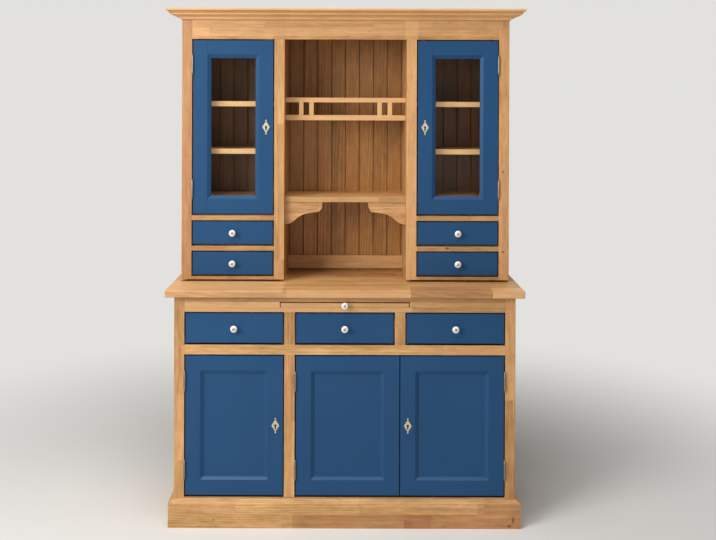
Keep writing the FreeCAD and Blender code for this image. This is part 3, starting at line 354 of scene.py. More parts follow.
knot, given, result = new_group(
    "knot",
    [("Position", "Vector"), ("Centre", "Vector"), ("Size", "Vector")],
    [("Mask", "Float"), ("Halo", "Float")],
)
offset = vectors(knot, "SUBTRACT", given["Position"], given["Centre"])
wobble = noise(knot, offset, 190.0)
reach = vectors(knot, "LENGTH", vectors(knot, "DIVIDE", offset, given["Size"]))
reach = maths(knot, "MULTIPLY", reach, scaled(knot, wobble, 0.9, 0.55))
wire(knot, result["Mask"], ramp(knot, reach, 0.65, 1.05, 1.0, 0.0))
wire(knot, result["Halo"], ramp(knot, reach, 0.9, 3.2, 1.0, 0.0))
print("groups:", [group.name for group in bpy.data.node_groups])

# %% [markdown]
# Oiled oak is the main finish. It reads the board's place from an attribute that each dressed board will carry, takes
# the stave group for its colour, lays the patches and knots over it, and turns the height into a fine bump. The eased
# edges get a paler version: partly wear from hands and dusters, partly a painted highlight along the arris. The tops of
# the rails, in the gaps below the doors and drawers, get a dark oak, a painted shade for those gaps.

# %% Oak
BROWN, HONEY, BARK = seen(150, 92, 52), seen(240, 189, 130), seen(78, 42, 22)
OAK_TONES_AND_PAINTED_LIGHT = [
    # the plinth
    ((-0.217, -0.27, -0.01), (0.362, -0.2, 0.0585), BROWN, 0.42),
    ((0.556, -0.27, 0.0585), (0.8, -0.2, 0.1045), BROWN, 0.30),
    # the worktop, and a painted shade on its rounded front edge that dims its highlight
    ((0.274, -0.27, 0.955), (0.6146, -0.17, 1.0), BROWN, 0.22),
    ((0.6146, -0.27, 0.955), (0.77, -0.19, 1.0), HONEY, 0.50),
    ((-0.245, -0.27, 0.955), (0.274, -0.22, 1.0), HONEY, 0.35),
    ((-0.76, -0.27, 0.985), (-0.26, 0.27, 1.0), HONEY, 0.45),
    ((-0.26, -0.255, 0.985), (0.274, -0.06, 0.995), HONEY, 0.18),
    ((-0.76, -0.262, 0.962), (-0.245, -0.258, 0.985), HONEY, 0.18),
    ((-0.76, -0.262, 0.985), (0.76, -0.255, 0.995), BROWN, 0.20),
    # the base's top rail: painted light on its lower part, and a painted shadow below the worktop's overhang
    ((-0.673, -0.23, 0.897), (0.28, -0.15, 0.94), HONEY, 0.36),
    ((-0.717, -0.23, 0.94), (0.717, -0.203, 0.9632), BROWN, 0.22),
    # the shelves' fronts, with painted light, strongest behind the glass; the gallery and the niche's low rail
    ((-0.7, -0.0048, 1.33), (0.7, -0.0012, 1.79), HONEY, 0.85),
    ((-0.27, -0.0318, 1.33), (0.27, -0.0282, 1.37), HONEY, 0.15),
    ((-0.27, 0.0235, 1.69), (0.27, 0.0425, 1.8), HONEY, 0.45),
    ((-0.266, 0.2355, 0.996), (0.266, 0.2385, 1.065), HONEY, 0.40),
    # painted light on the hutch's cornice and frieze, the stiles, and a painted shadow below the cornice
    ((-0.8, -0.27, 2.135), (0.8, 0.27, 2.19), HONEY, 0.48),
    ((-0.72, -0.06, 0.99), (-0.671, -0.04, 2.14), BROWN, 0.36),
    ((-0.317, -0.06, 0.99), (-0.26, -0.04, 2.14), BROWN, 0.19),
    ((0.26, -0.06, 0.99), (0.317, -0.04, 2.14), HONEY, 0.26),
    ((-0.672, -0.06, 2.066), (0.672, -0.04, 2.14), HONEY, 0.24),
    ((-0.717, -0.06, 2.1325), (0.717, -0.04, 2.15), BARK, 0.34),
    # painted shade in the gap under the hutch's face frame
    ((-0.716, -0.0545, 0.99), (-0.267, -0.03, 0.994), BARK, 0.50),
    ((0.267, -0.0545, 0.99), (0.716, -0.03, 0.994), BARK, 0.50),
]
KNOTS = [
    ((0.704, -0.2455, 0.036), (0.0036, 0.02, 0.0125)),
    ((0.688, -0.2455, 0.012), (0.0075, 0.02, 0.0048)),
    ((0.69, -0.055, 1.125), (0.005, 0.02, 0.0038)),
    ((0.69, -0.055, 1.475), (0.003, 0.02, 0.005)),
    ((0.447, -0.055, 1.14), (0.009, 0.02, 0.005)),
    ((-0.545, -0.2455, 0.034), (0.0035, 0.02, 0.0025)),
]


def lay_patches(tree, colour, position, patches):
    """A colour with each patch's tint laid over it by its share."""
    for low, high, tint, share in patches:
        mask = place_group(tree, patch, Position=position, Low=low, High=high)["Mask"]
        colour = blend_colours(tree, maths(tree, "MULTIPLY", mask, share), colour, tint)
    return colour


def oak_material(name, pale, deep, patches=(), knots=(), **grain_values):
    """Oak between two tones, with patches and knots laid over it."""
    material, tree, shader = new_material(name)
    board = add(tree, "Attribute", attribute_name="place").outputs["Vector"]
    grain = place_group(tree, staves, Place=board, Pale=pale, Deep=deep, **grain_values)
    position = add(tree, "TexCoord").outputs["Object"]
    colour = lay_patches(tree, grain["Color"], position, patches)
    for centre, size in knots:
        spot = place_group(tree, knot, Position=position, Centre=centre, Size=size)
        colour = blend_colours(tree, maths(tree, "MULTIPLY", spot["Halo"], 0.35), colour, BROWN)
        colour = blend_colours(tree, maths(tree, "MULTIPLY", spot["Mask"], 0.95), colour, BARK)
    wire(tree, shader.inputs["Base Color"], colour)
    wire(tree, shader.inputs["Roughness"], scaled(tree, grain["Rings"], 0.08, 0.44))
    bump(tree, shader, grain["Height"], 0.35, 0.0004)
    return material


oak = oak_material("oak", seen(222, 171, 110), seen(154, 99, 51), OAK_TONES_AND_PAINTED_LIGHT, KNOTS)
# The eased edges are paler: partly wear from hands, partly a painted highlight along the arris.
oak_edge = oak_material("oak_edge", seen(228, 178, 118), seen(168, 111, 61), OAK_TONES_AND_PAINTED_LIGHT, KNOTS, Figure=0.1)
# A dark oak for the rail tops: a painted shade in the gaps below the doors and drawers.
oak_dusty = oak_material("oak_dusty", seen(96, 66, 40), seen(58, 38, 22))
print("oak materials:", oak.name, oak_edge.name, oak_dusty.name)

# %% [markdown]
# The back of each case is made of narrow tongued boards in one length, browner than the front because they were never
# sanded as fine. They have no cross joints, so their staves are endless. Behind the glass and high in the niche they
# are darkened by painted shade, and across the middle of the niche they get painted light on the left and painted shade
# on the right. Two nails hold each board at each shelf, and their heads show from behind, a darker ring of oxide in the
# wood round each.

# %% Back boards and their nail heads
BACK_BOARD_PITCH = 0.0655
NAIL_ROWS = (0.112, 0.411, 0.950, 1.006, 1.351, 1.561, 1.771, 2.150)
NAIL_SPREAD = 0.019
ENDLESS = 1000.0
BACK_PAINTED_LIGHT_AND_SHADE = [
    # painted shade behind the glass and high in the niche; across the niche's middle, painted light on the left and
    # painted shade on the right
    ((-0.72, 0.24, 0.98), (-0.285, 0.257, 2.2), BARK, 0.54),
    ((0.285, 0.24, 0.98), (0.72, 0.257, 2.2), BARK, 0.58),
    ((-0.285, 0.24, 1.7), (0.0655, 0.257, 2.2), BARK, 0.14),
    ((0.0655, 0.24, 1.7), (0.285, 0.257, 2.2), BARK, 0.32),
    ((-0.285, 0.24, 1.37), (-0.0655, 0.257, 1.7), HONEY, 0.16),
    ((0.0655, 0.24, 1.37), (0.285, 0.257, 1.7), BARK, 0.10),
]

nails, given, result = new_group("nail_heads", [("Position", "Vector")], [("Mask", "Float"), ("Halo", "Float")])
east, depth_in, up = add(nails, "SeparateXYZ", {0: given["Position"]}).outputs
place_in_board = maths(nails, "SUBTRACT", maths(nails, "FRACT", maths(nails, "DIVIDE", east, BACK_BOARD_PITCH)), 0.5)
sideways = maths(nails, "ABSOLUTE", maths(nails, "MULTIPLY", place_in_board, BACK_BOARD_PITCH))
sideways = maths(nails, "SUBTRACT", sideways, NAIL_SPREAD)
nearest = 1.0
for height in NAIL_ROWS:
    nearest = maths(nails, "MINIMUM", nearest, maths(nails, "ABSOLUTE", maths(nails, "SUBTRACT", up, height)))
offset = add(nails, "CombineXYZ", {0: sideways, 1: nearest}).outputs[0]
reach = vectors(nails, "LENGTH", offset)
behind = ramp(nails, depth_in, 0.2585, 0.2595)
wire(nails, result["Mask"], maths(nails, "MULTIPLY", behind, ramp(nails, reach, 0.0019, 0.0023, 1.0, 0.0)))
wire(nails, result["Halo"], maths(nails, "MULTIPLY", behind, ramp(nails, reach, 0.0020, 0.0065, 1.0, 0.0)))


def back_board_material(name, pale, deep):
    """Brown oak in full-length boards, nailed from behind, with painted light and shade laid over it."""
    material = oak_material(name, pale, deep, BACK_PAINTED_LIGHT_AND_SHADE, Stave_Length=ENDLESS, Spread=0.45, Figure=0.26)
    tree = material.node_tree
    shader = tree.nodes["Principled BSDF"]
    heads = place_group(tree, nails, Position=add(tree, "TexCoord").outputs["Object"])
    colour = shader.inputs["Base Color"].links[0].from_socket
    colour = blend_colours(tree, maths(tree, "MULTIPLY", heads["Halo"], 0.45), colour, seen(70, 50, 36))
    colour = blend_colours(tree, heads["Mask"], colour, seen(112, 104, 96))
    wire(tree, shader.inputs["Base Color"], colour)
    wire(tree, shader.inputs["Metallic"], heads["Mask"])
    return material


oak_back = back_board_material("oak_back_boards", seen(200, 142, 68), seen(142, 92, 38))
oak_back_edge = back_board_material("oak_back_edge", seen(140, 92, 48), seen(92, 56, 28))
print("rows of nails:", len(NAIL_ROWS))

# %% [markdown]
# The doors and drawer fronts are painted a deep satin blue. Paint that was brushed on shows faint strokes along each
# board, a slow change of tone, and a bit of the grain under it. The same stave group gives that grain. The edges are
# rubbed a little, in short stretches only. The upward slope at the foot of each base panel gets a paler blue, a painted
# highlight, most of all on the left.

# %% Brush marks and rubbed edges, as shader groups
brush, given, result = new_group(
    "brush_marks", [("Place", "Vector"), ("Position", "Vector")], [("Shade", "Float"), ("Height", "Float")]
)
strokes = noise(brush, given["Place"], (5, 240, 240), 3.0)
slow = noise(brush, given["Position"], 3.2, 1.0)
peel = noise(brush, given["Position"], 420.0, 1.0)
level = scaled(brush, slow, 0.7, -0.03)
wire(brush, result["Shade"], scaled(brush, strokes, 0.35, level, clamp=True))
wire(brush, result["Height"], scaled(brush, peel, 0.25, strokes))

rubbed, given, result = new_group(
    "rubbed_edges", [("Position", "Vector"), ("Amount", "Float")], [("Mask", "Float")]
)
stretches = noise(rubbed, given["Position"], 9.0, 4.0, 0.7)
level = scaled(rubbed, noise(rubbed, given["Position"], 260.0), 0.3, stretches)
level = scaled(rubbed, given["Amount"], 0.4, level)
wire(rubbed, result["Mask"], ramp(rubbed, level, 0.81, 0.87))
print("groups:", len(bpy.data.node_groups))

# %% Blue paint
# A paler blue on the upward slope at the foot of each base panel: a painted highlight, stronger on the left door.
HIGHLIGHT_BLUE = seen(120, 150, 180)
PAINTED_HIGHLIGHT_PATCHES = [
    ((-0.605, -0.2245, 0.1926), (0.605, -0.216, 0.204), HIGHLIGHT_BLUE, 0.12),
    ((-0.605, -0.2245, 0.1926), (-0.321, -0.216, 0.204), HIGHLIGHT_BLUE, 0.10),
]


def paint_material(name, light, deep, worn):
    """Brushed satin paint; worn is how much of it is rubbed away."""
    material, tree, shader = new_material(name, Specular_IOR_Level=0.16)
    board = add(tree, "Attribute", attribute_name="place").outputs["Vector"]
    position = add(tree, "TexCoord").outputs["Object"]
    marks = place_group(tree, brush, Place=board, Position=position)
    grain = place_group(tree, staves, Place=board)
    colour = lay_patches(tree, blend_colours(tree, marks["Shade"], deep, light), position, PAINTED_HIGHLIGHT_PATCHES)
    if worn:
        mask = place_group(tree, rubbed, Position=position, Amount=worn)["Mask"]
        colour = blend_colours(tree, maths(tree, "MULTIPLY", mask, 0.4), colour, seen(120, 132, 140))
    wire(tree, shader.inputs["Base Color"], colour)
    wire(tree, shader.inputs["Roughness"], scaled(tree, marks["Shade"], -0.10, 0.50))
    height = scaled(tree, grain["Height"], 0.25, marks["Height"])
    bump(tree, shader, height, 0.25, 0.0003)
    return material


blue = paint_material("blue_paint", seen(36, 77, 117), seen(28, 65, 101), 0)
# The rim's blue is darker: a painted shade that deepens the gap round each front, with a little rubbed wear.
blue_rim_shade_and_wear = paint_material("blue_paint_edge", seen(24, 50, 80), seen(18, 40, 66), 0.1)
print("paint materials:", blue.name, blue_rim_shade_and_wear.name)

# %% [markdown]
# The knobs are white glazed porcelain, the hinges and key plates dull nickel, and the panes plain glass. Each has a
# fault that makes it look used: a glaze is never quite level, nickel goes brown in places, a pane keeps smears. Only
# the key plates are still bright, because hands rub them at each turn of the key.

# %% Where the keys go in
DOOR_STILE = 0.063
LOCKED_DOORS = {"left_door": 1, "right_door": 0, "left_glazed_door": 1, "right_glazed_door": 0}


def lock_side(door):
    """The x of a door's lock edge and the way inward from it."""
    side = LOCKED_DOORS[door]
    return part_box(door + "_frame")[side][0], -1 if side else 1


def key_place(door):
    """The middle of the lock stile, on its face."""
    low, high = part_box(door + "_frame")
    edge, inward = lock_side(door)
    return Vector((edge + inward * DOOR_STILE / 2, low[1], (low[2] + high[2]) / 2))


PLATE_BOX = Vector((0.020, 0.003, 0.034))
POLISHED = seen(206, 196, 172)
PLATE_PATCHES = [(key_place(door) - PLATE_BOX, key_place(door) + PLATE_BOX, POLISHED, 0.85) for door in LOCKED_DOORS]
print("key plates:", len(PLATE_PATCHES))

# %% Porcelain, nickel, steel and glass
blotch, given, result = new_group(
    "blotches", [("Position", "Vector"), ("Scale", "Float")], [("Value", "Float"), ("Fine", "Float")]
)
wire(blotch, result["Value"], noise(blotch, given["Position"], given["Scale"], 3.0, 0.6))
wire(blotch, result["Fine"], noise(blotch, given["Position"], maths(blotch, "MULTIPLY", given["Scale"], 12.0)))


def plain_material(name, light, deep, scale, gloss, bump_strength=0.0, patches=(), **constants):
    """A finish that varies in blotches between two colours and two degrees of roughness."""
    material, tree, shader = new_material(name, **constants)
    position = add(tree, "TexCoord").outputs["Object"]
    spots = place_group(tree, blotch, Position=position, Scale=scale)
    smooth, dull = gloss
    colour = lay_patches(tree, blend_colours(tree, spots["Value"], deep, light), position, patches)
    wire(tree, shader.inputs["Base Color"], colour)
    wire(tree, shader.inputs["Roughness"], scaled(tree, spots["Value"], dull - smooth, smooth))
    if bump_strength:
        bump(tree, shader, spots["Fine"], bump_strength, 0.0002)
    return material


GLAZE = {"Coat_Weight": 0.4, "Coat_Roughness": 0.06}
PANE = {"IOR": 1.10, "Transmission_Weight": 1.0}
porcelain = plain_material("porcelain", seen(234, 233, 231), seen(222, 220, 217), 45.0, (0.10, 0.20), 0.05, **GLAZE)
nickel = plain_material(
    "nickel", seen(158, 149, 130), seen(108, 97, 78), 90.0, (0.30, 0.50), 0.12, PLATE_PATCHES, Metallic=1.0
)
steel = plain_material("screw_steel", seen(184, 176, 172), seen(132, 122, 116), 200.0, (0.32, 0.50), 0.10, Metallic=1.0)
# The keyhole's black is a painted shade: a dark leaf stands where the hole lies in shade.
dark = plain_material("keyhole_dark", seen(26, 22, 20), seen(14, 12, 11), 120.0, (0.6, 0.8), 0.10)
glass = plain_material("glass", seen(254, 255, 254), seen(251, 253, 252), 8.0, (0.0, 0.012), **PANE)
print("materials:", len(bpy.data.materials))

# %% [markdown]
# A wooden node comes as loose triangles, one closed solid after another, and each solid is one board. A solid is
# whole as soon as each of its edges has met its twin, so the boards can be told apart without guessing. Joining them
# board by board keeps two boards that touch from growing together. Flat faces are then made whole again.

# %% Boards from triangles
def split_into_boards(node):
    """The triangles of a node, board by board."""
    mesh = frame["nodes"][node].data
    places = [vertex.co.to_tuple(6) for vertex in mesh.vertices]
    boards, triangles, lonely = [], [], set()
    for polygon in mesh.polygons:
        corners = [places[number] for number in polygon.vertices]
        if len(set(corners)) < 3:
            continue
        triangles.append(corners)
        for edge in zip(corners, corners[1:] + corners[:1]):
            twin = edge[::-1]
            if twin in lonely:
                lonely.remove(twin)
            else:
                lonely.add(edge)
        if not lonely:
            boards.append(triangles)
            triangles = []
    if triangles:
        boards.append(triangles)
    return boards


def new_piece(name, points, faces):
    """An object made of points and faces."""
    mesh = bpy.data.meshes.new(name)
    mesh.from_pydata(points, [], faces)
    piece = bpy.data.objects.new(name, mesh)
    bpy.context.collection.objects.link(piece)
    return piece


def merged_copy(name, boards):
    """The boards as one mesh, with corners joined inside each board and the board's number on each face."""
    points, faces, numbers = [], [], []
    for number, triangles in enumerate(boards):
        known = {}
        for corners in triangles:
            for corner in corners:
                if corner not in known:
                    known[corner] = len(points)
                    points.append(corner)
            faces.append([known[corner] for corner in corners])
            numbers.append(number)
    piece = new_piece(name, points, faces)
    piece.data.attributes.new("board", "INT", "FACE").data.foreach_set("value", numbers)
    return piece


def work_on(piece):
    """Makes a piece the only one selected, so that the operators act on it alone."""
    bpy.ops.object.select_all(action="DESELECT")
    piece.select_set(True)
    bpy.context.view_layer.objects.active = piece


def make_faces_whole(piece, merge=0.0):
    """Dissolves the edges that lie inside flat faces."""
    work_on(piece)
    bpy.ops.object.mode_set(mode="EDIT")
    bpy.ops.mesh.select_all(action="SELECT")
    if merge:
        bpy.ops.mesh.remove_doubles(threshold=merge)
    bpy.ops.mesh.dissolve_limited(angle_limit=math.radians(0.4))
    bpy.ops.object.mode_set(mode="OBJECT")


print("boards in the plinth:", len(split_into_boards("plinth")))

# %% [markdown]
# Where two boards meet, nobody can reach the corner with a plane, and a painted joint is filled. So it matters which
# faces are covered. A point just outside the face answers that: it is covered when it lies inside another board, and
# a ray from there then meets the inner side of that board first. One search tree for each body keeps this fast.

# %% Which faces are covered
JUST_OUTSIDE = 0.0003
FINISHES = ("oak", "oak_back_boards", "blue_paint")
finish_of = {node: thing.data.materials[0].name.split(".")[0] for node, thing in frame["nodes"].items()}
boards_of = {node: split_into_boards(node) for node, finish in finish_of.items() if finish in FINISHES}
surface_of = {}
for body in frame["bodies"]:
    corners, faces = [], []
    for node, boards in boards_of.items():
        if body_of[node] == body:
            for triangle in (triangle for triangles in boards for triangle in triangles):
                faces.append(range(len(corners), len(corners) + 3))
                corners.extend(triangle)
    if faces:
        surface_of[body] = BVHTree.FromPolygons(corners, faces)


def covered(surface, point, normal):
    """Whether another board lies on a face at this point."""
    hit_normal = surface.ray_cast(point + normal * JUST_OUTSIDE, normal)[1]
    return hit_normal is not None and hit_normal.dot(normal) > 0


print("bodies with boards:", len(surface_of), "boards:", sum(len(boards) for boards in boards_of.values()))

# %% [markdown]
# No worked board has a knife edge. A joiner takes the arris off with a plane or sandpaper, about a millimetre, and
# that thin slope catches the light along every rail. A Bevel modifier does it, but only on long outward edges: the
# rim of a bore has hundreds of tiny ones, and they would fold over. So the edges are marked by weight first. An edge
# against another board keeps only a share of it, which shows as a fine joint line.

# %% Eased edges
SHORTEST_EASED = 0.006
FLATTEST_EASED = math.radians(30)
INSET = 0.0012
EDGE_SPOTS = (0.1, 0.3, 0.5, 0.7, 0.9)


def edge_is_free(surface, start, end, sides, needed):
    """Whether both faces of an edge are open at enough of five spots along it."""
    direction = (end - start).normalized()
    free = 0
    for share in EDGE_SPOTS:
        spot = start.lerp(end, share)
        open_sides = 0
        for normal, centre in sides:
            inward = normal.cross(direction)
            if inward.dot(centre - spot) < 0:
                inward.negate()
            open_sides += not covered(surface, spot + inward * INSET, normal)
        free += open_sides == 2
    return free >= needed


def ease_edges(piece, surface, width, joint_share, needed):
    """Takes the arris off the long outward edges; the new faces get the piece's second material."""
    mesh = piece.data
    sides_of = {}
    for polygon in mesh.polygons:
        for key in polygon.edge_keys:
            sides_of.setdefault(key, []).append((polygon.normal.copy(), polygon.center.copy()))
    weights = mesh.attributes.new("bevel_weight_edge", "FLOAT", "EDGE")
    count = 0
    for edge in mesh.edges:
        sides = sides_of.get(edge.key, [])
        start, end = (mesh.vertices[number].co for number in edge.vertices)
        if len(sides) != 2 or (end - start).length < SHORTEST_EASED:
            continue
        (first, here), (second, there) = sides
        if (there - here).dot(first) < 0 and first.angle(second, 0) > FLATTEST_EASED:
            weights.data[edge.index].value = 1 if edge_is_free(surface, start, end, sides, needed) else joint_share
            count += 1
    modifier = piece.modifiers.new("ease", "BEVEL")
    modifier.width, modifier.segments, modifier.material = width, 2, 1
    modifier.limit_method = "WEIGHT"
    modifier.use_clamp_overlap = False
    work_on(piece)
    bpy.ops.object.modifier_apply(modifier="ease")
    return count


# %% [markdown]
# The grain follows the longest side of each board, and the staves lie across its width. Each corner of the mesh gets
# its place on the board: metres along, across and through. The width is stretched slightly so that whole staves fill
# it, and a seeded chance shifts each board, so that no two look alike and every run gives the same.

# %% Place on the board
chooser = random.Random(11)


def lay_grain(piece):
    """Writes each point's place on its own board, with x along the grain."""
    mesh = piece.data
    points_of = {}
    for polygon, number in zip(mesh.polygons, mesh.attributes["board"].data):
        points_of.setdefault(number.value, set()).update(polygon.vertices)
    places = [(0.0, 0.0, 0.0)] * len(mesh.vertices)
    for number in sorted(points_of):
        spots = [mesh.vertices[point].co for point in points_of[number]]
        low = [min(spot[axis] for spot in spots) for axis in range(3)]
        size = [max(spot[axis] for spot in spots) - low[axis] for axis in range(3)]
        longest, middle, thinnest = sorted(range(3), key=lambda axis: -size[axis])
        rows = max(1, round(size[middle] / STAVE))
        widen = rows * STAVE / size[middle]
        shift = (chooser.uniform(0, 6), STAVE * chooser.randrange(120), chooser.uniform(0, 0.02))
        for point, spot in zip(points_of[number], spots):
            places[point] = (
                spot[longest] - low[longest] + shift[0],
                (spot[middle] - low[middle]) * widen + shift[1],
                spot[thinnest] - low[thinnest] + shift[2],
            )
    place = mesh.attributes.new("place", "FLOAT_VECTOR", "POINT")
    place.data.foreach_set("vector", [value for row in places for value in row])
    return len(points_of)


# %% [markdown]
# Now every wooden and every painted node is dressed in the same way. The record says which finish each node has, so
# the loop goes by the name of the material that came with it. The worktop's rounded edges come in very fine slices,
# and its nearly equal corners are merged first. The hutch stands on its sides: its face frame and the low rail of
# the niche were planed short, and a dark line shows under them. The rails and the bread board have some play too.
# The cornice is recut after the real moulding, a cove and a bead between two steps. The outer rim of a painted front
# gets a darker blue, a painted shade that deepens the gap round it, with a little rubbed wear, and the tops of the
# rails get a painted shade too.

# %% Dress the boards
DRESSING = {  # suffix, materials, width, share left at a joint, open spots needed
    "oak": ("_planed", (oak, oak_edge), 0.001, 0.35, 3),
    "oak_back_boards": ("_planed", (oak_back, oak_back_edge), 0.0008, 0.35, 3),
    "blue_paint": ("_painted", (blue, blue_rim_shade_and_wear), 0.0009, 0.0, 5),
}
HAIR, NEARLY_EQUAL = 0.0001, 0.00002
SHADOW_GAP = 0.0085
ABOVE_A_GAP = ("hutch_face_frame", "niche_rails")
RAIL_PLAY = 0.0025
RAIL_TOPS = {"base_face_frame": (0.125, 0.7625), "hutch_face_frame": (1.018, 1.151, 1.284)}
BREAD_BOARD_PLAY = 0.002
RIM = 0.004
RAIL_TOP_SHADE, FACING_UP = 2, 0.95


def is_rail_top(node, height):
    """Whether a rail of this node ends at this height."""
    return any(abs(height - top) < HAIR for top in RAIL_TOPS.get(node, ()))


def plane_short(piece, node):
    """Takes a little off the hutch's foot, the tops of the rails, and the top and the ends of the bread board."""
    low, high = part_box(node)
    for vertex in piece.data.vertices:
        if is_rail_top(node, vertex.co.z):
            vertex.co.z -= RAIL_PLAY
        if node in ABOVE_A_GAP and vertex.co.z < low[2] + SHADOW_GAP:
            vertex.co.z += SHADOW_GAP
        if node == "bread_board" and vertex.co.z > high[2] - BREAD_BOARD_PLAY:
            vertex.co.z -= BREAD_BOARD_PLAY
        if node == "bread_board" and min(vertex.co.x - low[0], high[0] - vertex.co.x) < BREAD_BOARD_PLAY:
            vertex.co.x -= math.copysign(BREAD_BOARD_PLAY, vertex.co.x)


CORNICE_DEPTH = 0.063
CORNICE_PROFILE = [  # depth and height of each point in mm, as they are and as they become
    (6, 0, 7, 0), (6, 12, 7, 9.5), (10, 12, 9, 9.5), (17.32, 12.36, 12, 12.5), (23.76, 13.77, 17, 15),
    (29.85, 16.14, 24, 17), (35.41, 19.37, 31, 18.3), (39.95, 22.97, 34, 19), (43.95, 27.17, 34.3, 26.5),
    (46.1, 30, 38, 28.5), (48, 33, 44, 31), (52, 33, 50, 33.5), (52.3, 33.47, 51, 33.9), (52.64, 33.91, 52, 34.2),
    (53.29, 34.56, 53.5, 34.5), (54.11, 35.15, 55, 34.8), (55.02, 35.59, 56.5, 35), (55.99, 35.88, 58, 35.1),
    (57, 36, 59.5, 35.2), (63, 36, 63, 35.2),
]
SAME_POINT = 0.05


def recut_cornice(piece):
    """Moves each point of the cornice's profile to where the real moulding has it."""
    low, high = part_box("cornice")
    side, front = high[0] - CORNICE_DEPTH, low[1] + CORNICE_DEPTH
    moved = 0
    for vertex in piece.data.vertices:
        spot = vertex.co
        depth, height = 1000 * (abs(spot.x) - side), 1000 * (spot.z - low[2])
        for old_depth, old_height, new_depth, new_height in CORNICE_PROFILE:
            if abs(depth - old_depth) < SAME_POINT and abs(height - old_height) < SAME_POINT:
                shift = (new_depth - old_depth) / 1000
                spot.x += math.copysign(shift, spot.x)
                if spot.y < front:
                    spot.y -= shift
                spot.z += (new_height - old_height) / 1000
                moved += 1
                break
    return moved


def plain_inside_rim(piece, node):
    """Keeps the second material, the rim's painted shade and wear, to the outer edges of a door or drawer front."""
    low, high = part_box(node)
    for polygon in piece.data.polygons:
        centre = polygon.center
        if min(centre.x - low[0], high[0] - centre.x, centre.z - low[2], high[2] - centre.z) > RIM:
            polygon.material_index = 0


def shade_the_rail_tops(piece, node):
    """Gives the tops of the rails a dark oak, a painted shade in the gaps below the doors and drawers."""
    piece.data.materials.append(oak_dusty)
    for polygon in piece.data.polygons:
        if polygon.normal.z > FACING_UP and is_rail_top(node, polygon.center.z + RAIL_PLAY):
            polygon.material_index = RAIL_TOP_SHADE


boards_made = eased = 0
for node in sorted(boards_of):
    suffix, materials, width, joint_share, needed = DRESSING[finish_of[node]]
    piece = merged_copy(node + suffix, boards_of[node])
    for material in materials:
        piece.data.materials.append(material)
    make_faces_whole(piece, NEARLY_EQUAL if node == "worktop" else 0.0)
    plane_short(piece, node)
    if node == "cornice":
        print("points of the cornice moved:", recut_cornice(piece))
    eased += ease_edges(piece, surface_of[body_of[node]], width, joint_share, needed)
    if finish_of[node] == "blue_paint":
        plain_inside_rim(piece, node)
    if node in RAIL_TOPS:
        shade_the_rail_tops(piece, node)
    boards_made += lay_grain(piece)
    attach(piece, body_of[node])
    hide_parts(node)
print("boards:", boards_made, "edges eased:", eased)

# %% [markdown]
# The metal and the glass keep their CAD shape, which is right already, and only change their material.

# %% Metal and glass
metal_and_glass = {"hardware": nickel, "glass": glass, "porcelain": porcelain}
renewed = 0
for node, thing in frame["nodes"].items():
    if finish_of[node] in metal_and_glass:
        for slot in thing.material_slots:
            slot.material = metal_and_glass[finish_of[node]]
            renewed += 1
print("slots with a new material:", renewed)

# %% [markdown]
# The knobs are turned porcelain: a rose against the drawer, a waisted neck, and a flat dome with a sunk steel screw
# in its middle. Rings of points are laid one above the other, as a turner works along the piece, and faces join
# them. A subdivision surface then rounds the knob. Rings laid like this have the same order in each run.

# %% A round solid, ring by ring
def turned(name, rings, sides, levels=0):
    """A closed round solid on the z axis, from a table of radius and height."""
    points, faces = [], [range(sides)[::-1]]
    for radius, height in rings:
        for side in range(sides):
            angle = math.tau * side / sides
            points.append((-radius * math.sin(angle), radius * math.cos(angle), height))
    last_ring = sides * (len(rings) - 1)
    for ring in range(0, last_ring, sides):
        for side in range(sides):
            here, there = ring + side, ring + (side + 1) % sides
            faces.append((here, there, there + sides, here + sides))
    faces.append(range(last_ring, last_ring + sides))
    piece = new_piece(name, points, faces)
    work_on(piece)
    if levels:
        rounding = piece.modifiers.new("rounding", "SUBSURF")
        rounding.levels = rounding.render_levels = levels
        bpy.ops.object.modifier_apply(modifier="rounding")
    bpy.ops.object.shade_smooth_by_angle(angle=math.radians(35))
    return piece


KNOB_RINGS = [
    (0.0088, 0), (0.0088, 0.0004), (0.0087, 0.0022), (0.0074, 0.0032), (0.006, 0.006), (0.006, 0.0095),
    (0.0082, 0.0136), (0.0126, 0.0168), (0.015, 0.0192), (0.0149, 0.0214), (0.0133, 0.0246), (0.0105, 0.0268),
    (0.0082, 0.0279), (0.0069, 0.028), (0.0065, 0.0272), (0.0064, 0.0254), (0.006, 0.0252),
]
knob_pattern = turned("knob_pattern", KNOB_RINGS, 32, 1)
knob_pattern.data.materials.append(porcelain)
print("knob:", len(knob_pattern.data.polygons), "faces,", round(1000 * knob_pattern.dimensions.x, 1), "mm wide")

# %% [markdown]
# A slotted screw holds each knob. Its slot is cut with a thin block, the way a saw cuts it. Smaller screws of the
# same shape hold the lock cases, and round pins hold the key plates.

# %% Screws and pins
BEYOND_THE_HEAD = 0.1


def use_block(piece, place, size, operation):
    """Cuts a block out of a piece, or joins it to the piece, and throws the block away."""
    bpy.ops.mesh.primitive_cube_add(size=1, location=place, scale=size)
    block = bpy.context.object
    work_on(piece)
    modifier = piece.modifiers.new("block", "BOOLEAN")
    modifier.object, modifier.operation = block, operation
    bpy.ops.object.modifier_apply(modifier="block")
    bpy.data.objects.remove(block)


def cut_slot(piece, width, depth):
    """Cuts a straight slot across the top of a round head."""
    top = max(vertex.co.z for vertex in piece.data.vertices)
    use_block(piece, (0, 0, top), (BEYOND_THE_HEAD, width, 2 * depth), "DIFFERENCE")


